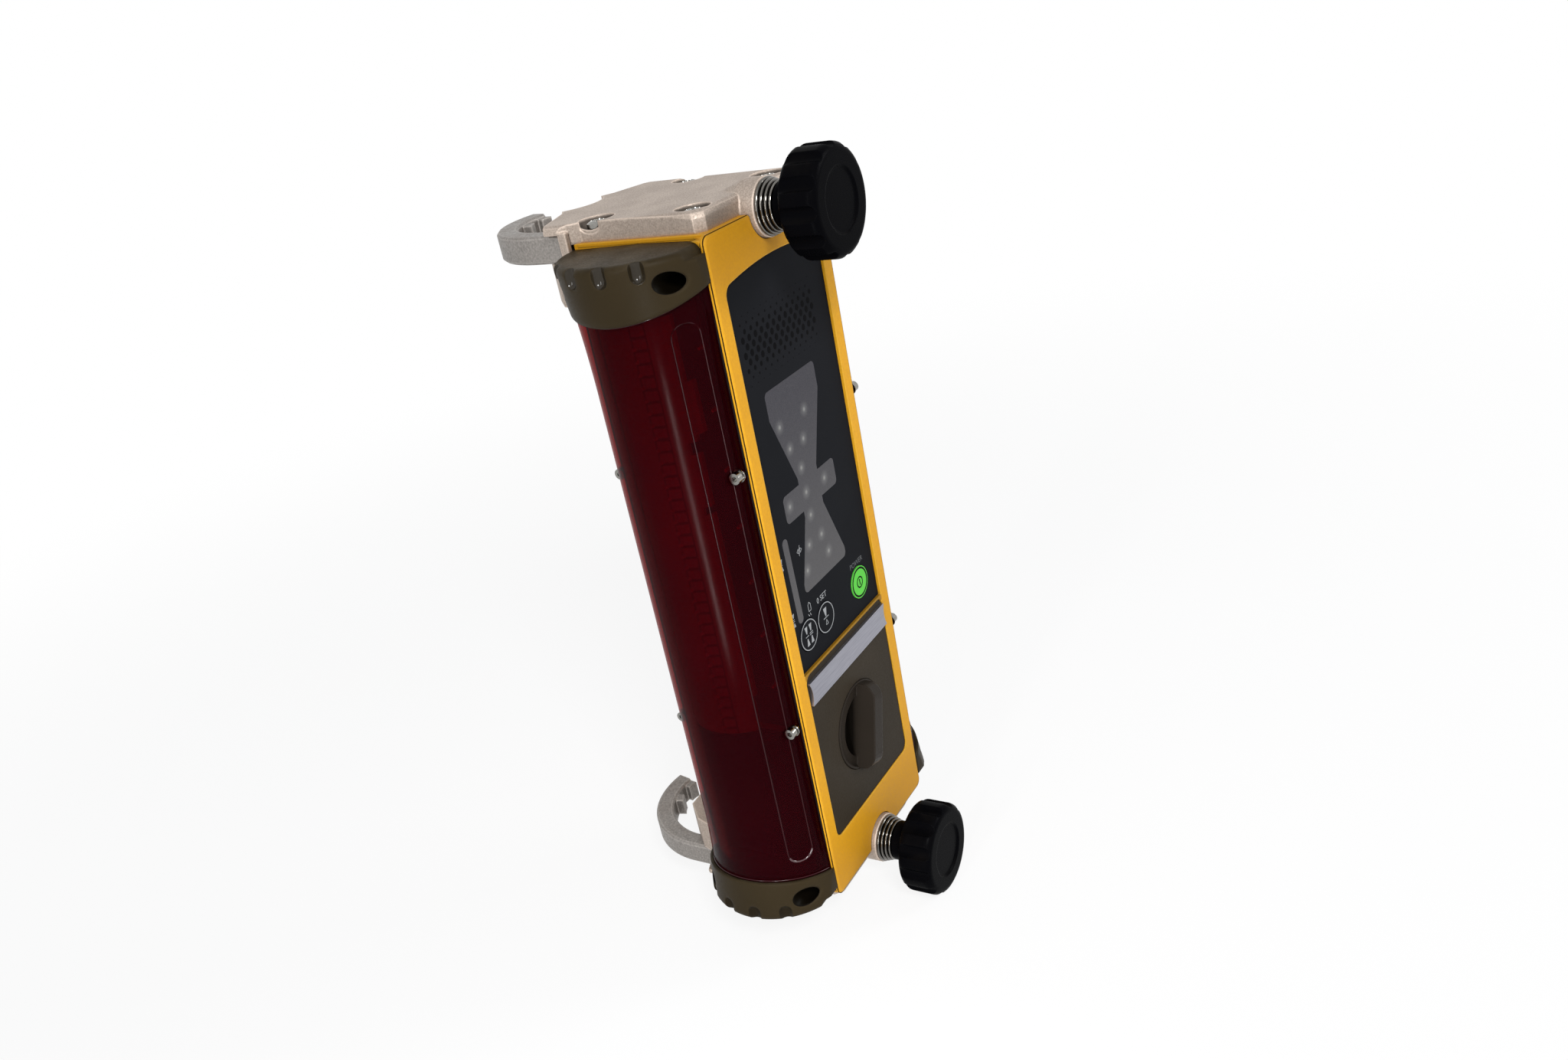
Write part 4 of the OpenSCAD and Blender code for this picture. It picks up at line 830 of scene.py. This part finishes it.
def domed_head(name, radius, height, dome, arm):
    """A pan head with a cross recess, its seat at the origin and its top along +Z."""
    around, rings = 48, 12
    arm_half, wall, tip, sunk = arm * 0.3, 0.25, 0.5, height * 0.34
    bm = bmesh.new()

    def ease(gap, slope):
        return min(1.0, max(0.0, gap / slope))

    def cut(x, y):
        return max(ease(arm_half - abs(a), wall) * ease(arm - abs(b), tip) for a, b in ((x, y), (y, x)))

    def top(x, y):
        return height - dome * ((x * x + y * y) / radius ** 2) ** 1.2 - cut(x, y) * sunk

    rows = []
    for j in range(1, rings + 1):
        r = radius * j / rings
        row = [(r * math.cos(t), r * math.sin(t)) for t in (2 * math.pi * i / around for i in range(around))]
        rows.append([bm.verts.new((x * MM, y * MM, top(x, y) * MM)) for x, y in row])
    rows.append([bm.verts.new((v.co.x, v.co.y, 0.0)) for v in rows[-1]])
    middle = bm.verts.new((0, 0, top(0, 0) * MM))
    foot = bm.verts.new((0, 0, 0))
    for i in range(around):
        k = (i + 1) % around
        bm.faces.new((middle, rows[0][i], rows[0][k]))
        bm.faces.new((foot, rows[-1][k], rows[-1][i]))
        for low, high in zip(rows, rows[1:]):
            bm.faces.new((low[i], high[i], high[k], low[k]))
    mesh = smooth(mesh_of(bm, name), 50)
    held = mesh.attributes.new("recess", "FLOAT", "POINT")
    for i, vert in enumerate(mesh.vertices):
        held.data[i].value = cut(vert.co.x / MM, vert.co.y / MM) if vert.co.z > 0 else 0.0
    return mesh


def fit_screws():
    """Screw heads in the wells of the clamp plates and of the end caps."""
    tree, keys = make_set()
    plates = [(place(way * x, y, end * (SCREW_SEAT + 0.02)), (0.0 if end > 0 else math.pi, 0.0, 0.3 * x))
              for x, y in WELLS for way, end in CORNERS]
    caps = [(place(way * CAP_SCREW_X, y, end * CAP_SCREW_Z), (0.0, way * math.pi / 2, 0.0))
            for y in (AXIS_Y - CAP_SCREW_ASIDE, AXIS_Y + CAP_SCREW_ASIDE) for way, end in CORNERS]
    for name, spots, head, node in (
        ("bracket_screw_heads", plates, (5.3, 5.0, 1.3, 3.1), "bracket_screws"),
        ("cap_screw_heads", caps, (3.1, 3.4, 1.0, 1.9), "cap_screws"),
    ):
        work = bpy.data.objects.new(name + "_one", domed_head(name + "_one", *head))
        scene.collection.objects.link(work)
        mesh = grown(tree, keys, name, set_points(name + "_points", spots), Piece=work)
        bpy.data.objects.remove(work)
        keep(mesh, name, "screw_steel", "base", [node])


def fit_well_lips():
    """Low walls that close the rear wells of the clamp plates towards the sides, dipped in the middle."""
    reach, low, dip, rise = 5.9, SCREW_SEAT - 0.3, 1.7, 1.5
    faces = (PLATE_HALF - 0.85, PLATE_HALF - 0.02)
    middle = WELLS[1][1]
    shares = [i / 8 - 1 for i in range(17)]
    outline = [(middle + reach * t, SCREW_SEAT + dip + rise * t * t) for t in shares]
    outline += [(middle + reach, low), (middle - reach, low)]
    bm = bmesh.new()
    for way, end in CORNERS:
        loft(bm, [[bm.verts.new(place(way * x, y, end * z)) for y, z in outline] for x in faces])
    keep(mesh_of(bm, "bracket_well_lips"), "bracket_well_lips", "bracket_cast", "base")


def on_window(way, radius, degrees, z):
    """A point on a window's round face; 0 degrees looks straight out, less than 0 is nearer the front."""
    turn = math.radians(degrees)
    return place(way * (AXIS_X + radius * math.cos(turn)), AXIS_Y + radius * math.sin(turn), z)


def fit_rows():
    """Teeth down the outermost line of each light guide, and pins in the dark gap beside it, in a brighter red
    that paints their highlights.
    """
    tree, keys = make_row()
    tooth = {"Count": 34, "Foot": 0.0011, "Tip": 0.0005, "Height": 0.0012, "Sides": 6}
    pin = {"Count": 7, "Foot": 0.0013, "Tip": 0.0007, "Height": 0.0037, "Sides": 10}
    for side, way in SIDES:
        for name, start, step, peg in (
            (side + "_guide_teeth", on_window(way, GUIDE_R + 0.3, -10.0, -61.0), 0.006, tooth),
            (side + "_side_pins", place(way * 54.6, 10.4, -44.2), 0.0293, pin),
        ):
            mesh = grown(tree, keys, name, Start=start, Step=(0.0, 0.0, step),
                         Turn=(0.0, way * math.pi / 2, 0.0), **peg)
            keep(mesh, name, "tooth_red", "base")


def fit_beads():
    """The rounded edge of each flute, its glossy lower lip, and the bead under each cap's slanted edge."""
    tree, keys = make_bead()

    def bead(name, points, finish, radius, closed=False, sides=8):
        line = line_mesh(name + "_line", points, closed)
        mesh = grown(tree, keys, name, line, Radius=radius * MM, Sides=sides)
        keep(smooth(mesh, 60), name, finish, "base")

    for side, way in SIDES:
        halves = []
        for _, end in ENDS:
            arc = [math.pi * i / 12 for i in range(13)]
            halves.append([on_window(way, WINDOW_R, FLUTE_TURN + end * FLUTE_HALF * math.cos(a),
                                     end * (FLUTE_END + FLUTE_ROUND * math.sin(a))) for a in arc])
        bead(side + "_flute_bead", halves[0] + halves[1], "bead_red", 0.34, closed=True)
        bead(side + "_flute_lip", halves[1][1:-1], "gleam_red", 0.7, sides=10)
        for part, end in ENDS:
            slant = math.tan(math.radians(CAP_FALL[part]))
            edge = []
            for i in range(41):
                turn = RIM_TURN * (i / 20 - 1)
                out = AXIS_X + RIM_R * math.cos(math.radians(turn)) - HALF_W
                edge.append(on_window(way, RIM_R, turn, end * (CAP_EDGE_Z - slant * out - 0.7)))
            bead(side + "_" + part + "_rim_bead", edge, "bead_red", 0.5)


def fit_dots():
    """The dot mesh at the top of the panel."""
    tree, keys = make_dots()
    mesh = grown(tree, keys, "panel_dots", Columns=12, Rows=10, Pitch=0.0056, Row=0.0036, Largest=0.00155,
                 Thickness=PRINT_T * MM, Middle=place(-5.5, PANEL_FACE - PRINT_T / 2, 122.0))
    keep(mesh, "panel_dots", "print_dot", "base")


def seam_run(name, way):
    """Dark joint line between the bezel and the housing, from boss to boss round one side."""
    low, high, inside, outside, corner, gap = 0.55, 1.1, 0.12, 0.025, 4.0, 14.6
    path = [(gap, HALF_H, 0.0, 1.0)]
    for start, x, z in ((90, HALF_W - corner, HALF_H - corner), (0, HALF_W - corner, corner - HALF_H)):
        for i in range(9):
            a = math.radians(start - 90 * i / 8)
            path.append((x + corner * math.cos(a), z + corner * math.sin(a), math.cos(a), math.sin(a)))
    path.append((gap, -HALF_H, 0.0, -1.0))
    section = ((outside, low), (outside, high), (-inside, high), (-inside, low))
    bm = bmesh.new()
    loft(bm, [[bm.verts.new(place(way * (x + nx * out), y, z + nz * out)) for out, y in section]
              for x, z, nx, nz in path])
    keep(mesh_of(bm, name), name, "seam_dark", "base")


# Printed marks


def ring(x, z, inner, outer, count=44):
    """Faces of a flat ring."""
    turn = [2 * math.pi * i / count for i in range(count + 1)]
    edge = [[(x + r * math.cos(a), z + r * math.sin(a)) for a in turn] for r in (inner, outer)]
    return [[edge[1][i], edge[1][i + 1], edge[0][i + 1], edge[0][i]] for i in range(count)]


def stroke(x0, z0, x1, z1, width):
    """Face of one straight line."""
    long = math.hypot(x1 - x0, z1 - z0)
    nx, nz = (z0 - z1) / long * width / 2, (x1 - x0) / long * width / 2
    return [[(x0 - nx, z0 - nz), (x1 - nx, z1 - nz), (x1 + nx, z1 + nz), (x0 + nx, z0 + nz)]]


def wedge(x, z, foot, tip, height):
    """Face of a solid arrow that narrows from its foot at z to its tip."""
    return [[(x - foot / 2, z), (x + foot / 2, z), (x + tip / 2, z + height), (x - tip / 2, z + height)]]


def outlined(points, width):
    """Faces of a closed line through the points."""
    return [face for a, b in zip(points, points[1:] + points[:1]) for face in stroke(*a, *b, width)]


def printed(name, faces, y, finish, body, slot):
    """A thin print laid on a flat face at depth y, from faces given in x and z."""
    bm = bmesh.new()
    for points in faces:
        bm.faces.new([bm.verts.new(place(x, y, z)) for x, z in points])
    bmesh.ops.remove_doubles(bm, verts=bm.verts, dist=1e-7)
    lifted = bmesh.ops.extrude_face_region(bm, geom=bm.faces[:])["geom"]
    bmesh.ops.translate(bm, verts=[v for v in lifted if isinstance(v, bmesh.types.BMVert)],
                        vec=(0, -PRINT_T * MM, 0))
    keep(mesh_of(bm, name), name, finish, body)


def lettered(name, words, size, x, y, z, finish, body, slot):
    """A plain function label, centred on x and z."""
    curve = bpy.data.curves.new(name, "FONT")
    curve.body = words
    curve.size = size * MM
    curve.align_x, curve.align_y = "CENTER", "CENTER"
    curve.extrude = PRINT_T * MM / 2
    curve.resolution_u = 3
    mesh = plain_mesh(bpy.data.objects.new(name + "_work", curve))
    mesh.transform(Matrix.Translation(place(x, y - PRINT_T / 2, z)) @ Matrix.Rotation(math.pi / 2, 4, "X"))
    keep(mesh, name, finish, body)


def print_panel():
    """Labels and small signs on the panel beside the display."""
    white = ("print_white", "base", "display_grey")
    lettered("power_label", "POWER", 4.1, 26.5, PANEL_FACE, -17.3, "print_dim", "base", "display_grey")
    lettered("zero_label", "0 SET", 4.4, -12.8, PANEL_FACE, -17.0, *white)
    near = wedge(-42.1, 19.2, 2.3, 0.5, -2.6) + stroke(-42.9, 16.1, -41.3, 16.1, 0.35)
    near += wedge(-42.1, 13.0, 2.3, 0.5, 2.6)
    printed("fine_mark", near, PANEL_FACE, *white)
    wide = wedge(-41.3, -11.4, 2.2, 0.6, -2.2) + stroke(-42.1, -14.5, -40.5, -14.5, 0.35)
    wide += stroke(-42.1, -15.5, -40.5, -15.5, 0.35) + wedge(-41.3, -18.6, 2.2, 0.6, 2.2)
    printed("coarse_mark", wide, PANEL_FACE, *white)
    tilt = outlined([(-26.9, 15.6), (-25.3, 16.9), (-25.3, 14.3)], 0.3)
    tilt += stroke(-25.3, 12.9, -23.9, 18.3, 0.35)
    tilt += outlined([(-22.3, 15.6), (-23.9, 16.9), (-23.9, 14.3)], 0.3)
    printed("tilt_mark", tilt, PANEL_FACE, *white)
    call = outlined([(-26.6, -17.8), (-26.6, -14.4), (-25.4, -13.0), (-24.2, -14.4), (-24.2, -17.8)], 0.4)
    call += stroke(-27.6, -18.9, -26.6, -20.3, 0.4) + stroke(-25.7, -18.9, -25.2, -20.5, 0.4)
    printed("buzzer_mark", call, PANEL_FACE, *white)


def print_buttons():
    """Rings and signs on the three buttons; each rides on its own button."""
    z = BUTTON_Z
    mode = ring(MODE_X, z, 7.7, 8.2)
    for way, lines in ((-1, (0.0,)), (1, (0.5, -0.5))):
        x = MODE_X + way * 2.1
        mode += wedge(x, z + 5.3, 2.7, 0.7, -3.9) + wedge(x, z - 5.3, 2.7, 0.7, 3.9)
        for up in lines:
            mode += stroke(x - 1.6, z + up, x + 1.6, z + up, 0.4)
    printed("mode_print", mode, BUTTON_FACE, "print_white", "mode_button", "display_grey")
    zero = ring(ZERO_X, z, 7.7, 8.2) + wedge(ZERO_X, z + 5.4, 3.4, 0.8, -4.7)
    zero += stroke(ZERO_X - 2.6, z, ZERO_X + 2.6, z, 0.45)
    zero += outlined([(ZERO_X - 1.2, z - 3.9), (ZERO_X + 1.2, z - 3.9), (ZERO_X, z - 1.2)], 0.35)
    printed("zero_print", zero, BUTTON_FACE, "print_white", "zero_button", "display_grey")
    power = ring(POWER_X, z, 7.3, 8.35) + ring(POWER_X, z, 2.5, 3.3, 32)
    power += stroke(POWER_X, z - 1.7, POWER_X, z + 1.7, 0.9)
    printed("power_print", power, BUTTON_FACE, "print_dark", "power_button", "panel_black")


# Camera, light and floor


def aim_camera():
    """The photo's camera: its turn, rise and roll round a point in the receiver, and its lens."""
    turn, rise, roll = math.radians(-54.78), math.radians(24.19), math.radians(-11.79)
    distance, sensor = 0.6751, 36.0
    photo_wide, focal, right_by, up_by = 2048, 1674.6, 17.9, 23.2  # in pixels of the photo
    back = Vector((math.sin(turn) * math.cos(rise), -math.cos(turn) * math.cos(rise), math.sin(rise)))
    right = Vector((0, 0, 1)).cross(back).normalized()
    up = back.cross(right)
    across = right * math.cos(roll) + up * math.sin(roll)
    upward = up * math.cos(roll) - right * math.sin(roll)
    data = bpy.data.cameras.new("camera")
    data.sensor_width = sensor
    data.lens = sensor * focal / photo_wide
    data.shift_x, data.shift_y = right_by / photo_wide, up_by / photo_wide
    data.clip_start, data.clip_end = 0.02, 50
    camera = bpy.data.objects.new("camera", data)
    turned_to = Matrix((across, upward, back)).transposed().to_4x4()
    camera.matrix_world = Matrix.Translation(place(0, 35.7, 2.5) + back * distance) @ turned_to
    scene.collection.objects.link(camera)
    scene.camera = camera


def soft_lamp(name, spot, towards, size, power):
    """A flat lamp that the camera doesn't see."""
    data = bpy.data.lights.new(name, "AREA")
    data.shape = "RECTANGLE"
    data.size, data.size_y = size
    data.energy = power
    lamp = bpy.data.objects.new(name, data)
    lamp.location = spot
    lamp.rotation_mode = "QUATERNION"
    lamp.rotation_quaternion = (Vector(towards) - Vector(spot)).to_track_quat("-Z", "Y")
    lamp.visible_camera = False
    scene.collection.objects.link(lamp)


def seen_plainly(net):
    """1 where the camera, a mirror or clear plastic looks, 0 for the light that reaches the object."""
    path = net.add("ShaderNodeLightPath").outputs
    seen = net.math("MAXIMUM", path["Is Camera Ray"], path["Is Glossy Ray"])
    return net.math("MAXIMUM", seen, path["Is Transmission Ray"])


def light_stage():
    """A white studio: a dim even world, four soft lamps and a floor that shows white with a faint shadow."""
    world = bpy.data.worlds.new("studio")
    scene.world = world
    world.use_nodes = True
    net = Net(world.node_tree)
    shown = net.add("ShaderNodeBackground", {"Color": (1, 1, 1, 1), "Strength": 1.0})
    light = net.add("ShaderNodeBackground", {"Color": (0.95, 0.97, 1.0, 1), "Strength": 0.30})
    net.blend(seen_plainly(net), light, shown, "World Output")
    soft_lamp("key", (-0.95, -1.1, 1.2), (0, -0.05, 0), (0.4, 0.4), 20)
    soft_lamp("side", (-1.5, -0.1, 0.6), (0, -0.05, 0), (0.12, 0.9), 7)
    soft_lamp("fill", (0.9, -1.3, 0.6), (0, -0.05, 0), (0.5, 0.5), 9)
    soft_lamp("strip", (-0.36, -0.232, -0.07), (-0.07, -0.09, 0.05), (0.025, 0.2), 0.6)
    bpy.ops.mesh.primitive_plane_add(size=12, location=(0, 0, cad_box[0].z - 0.001))
    floor = bpy.context.object
    floor.name = "floor"
    made = Finish("floor_white", Roughness=0.9)
    net = made.net
    grain = made.group(GRAIN, Scale=120.0, Drift=2.0)
    made.feed("Base Color", net.mix(grain["Tone"], rgb(240, 240, 240), rgb(246, 246, 246)))
    glow = net.add("ShaderNodeEmission", {"Color": (1, 1, 1, 1), "Strength": 1.0})
    far = net.fit(net.vector("LENGTH", made.place), 0.3, 1.3, 0.86, 1.0, smooth=True)
    net.blend(net.times(seen_plainly(net), far), made.shader, glow)
    floor.data.materials.append(made.material)


aim_camera()
fit_rods()
fit_washers()
fit_screws()
fit_well_lips()
fit_dial_rim()
fit_rows()
fit_beads()
fit_dots()
print_panel()
print_buttons()
seam_run("left_bezel_seam", -1)
seam_run("right_bezel_seam", 1)
light_stage()
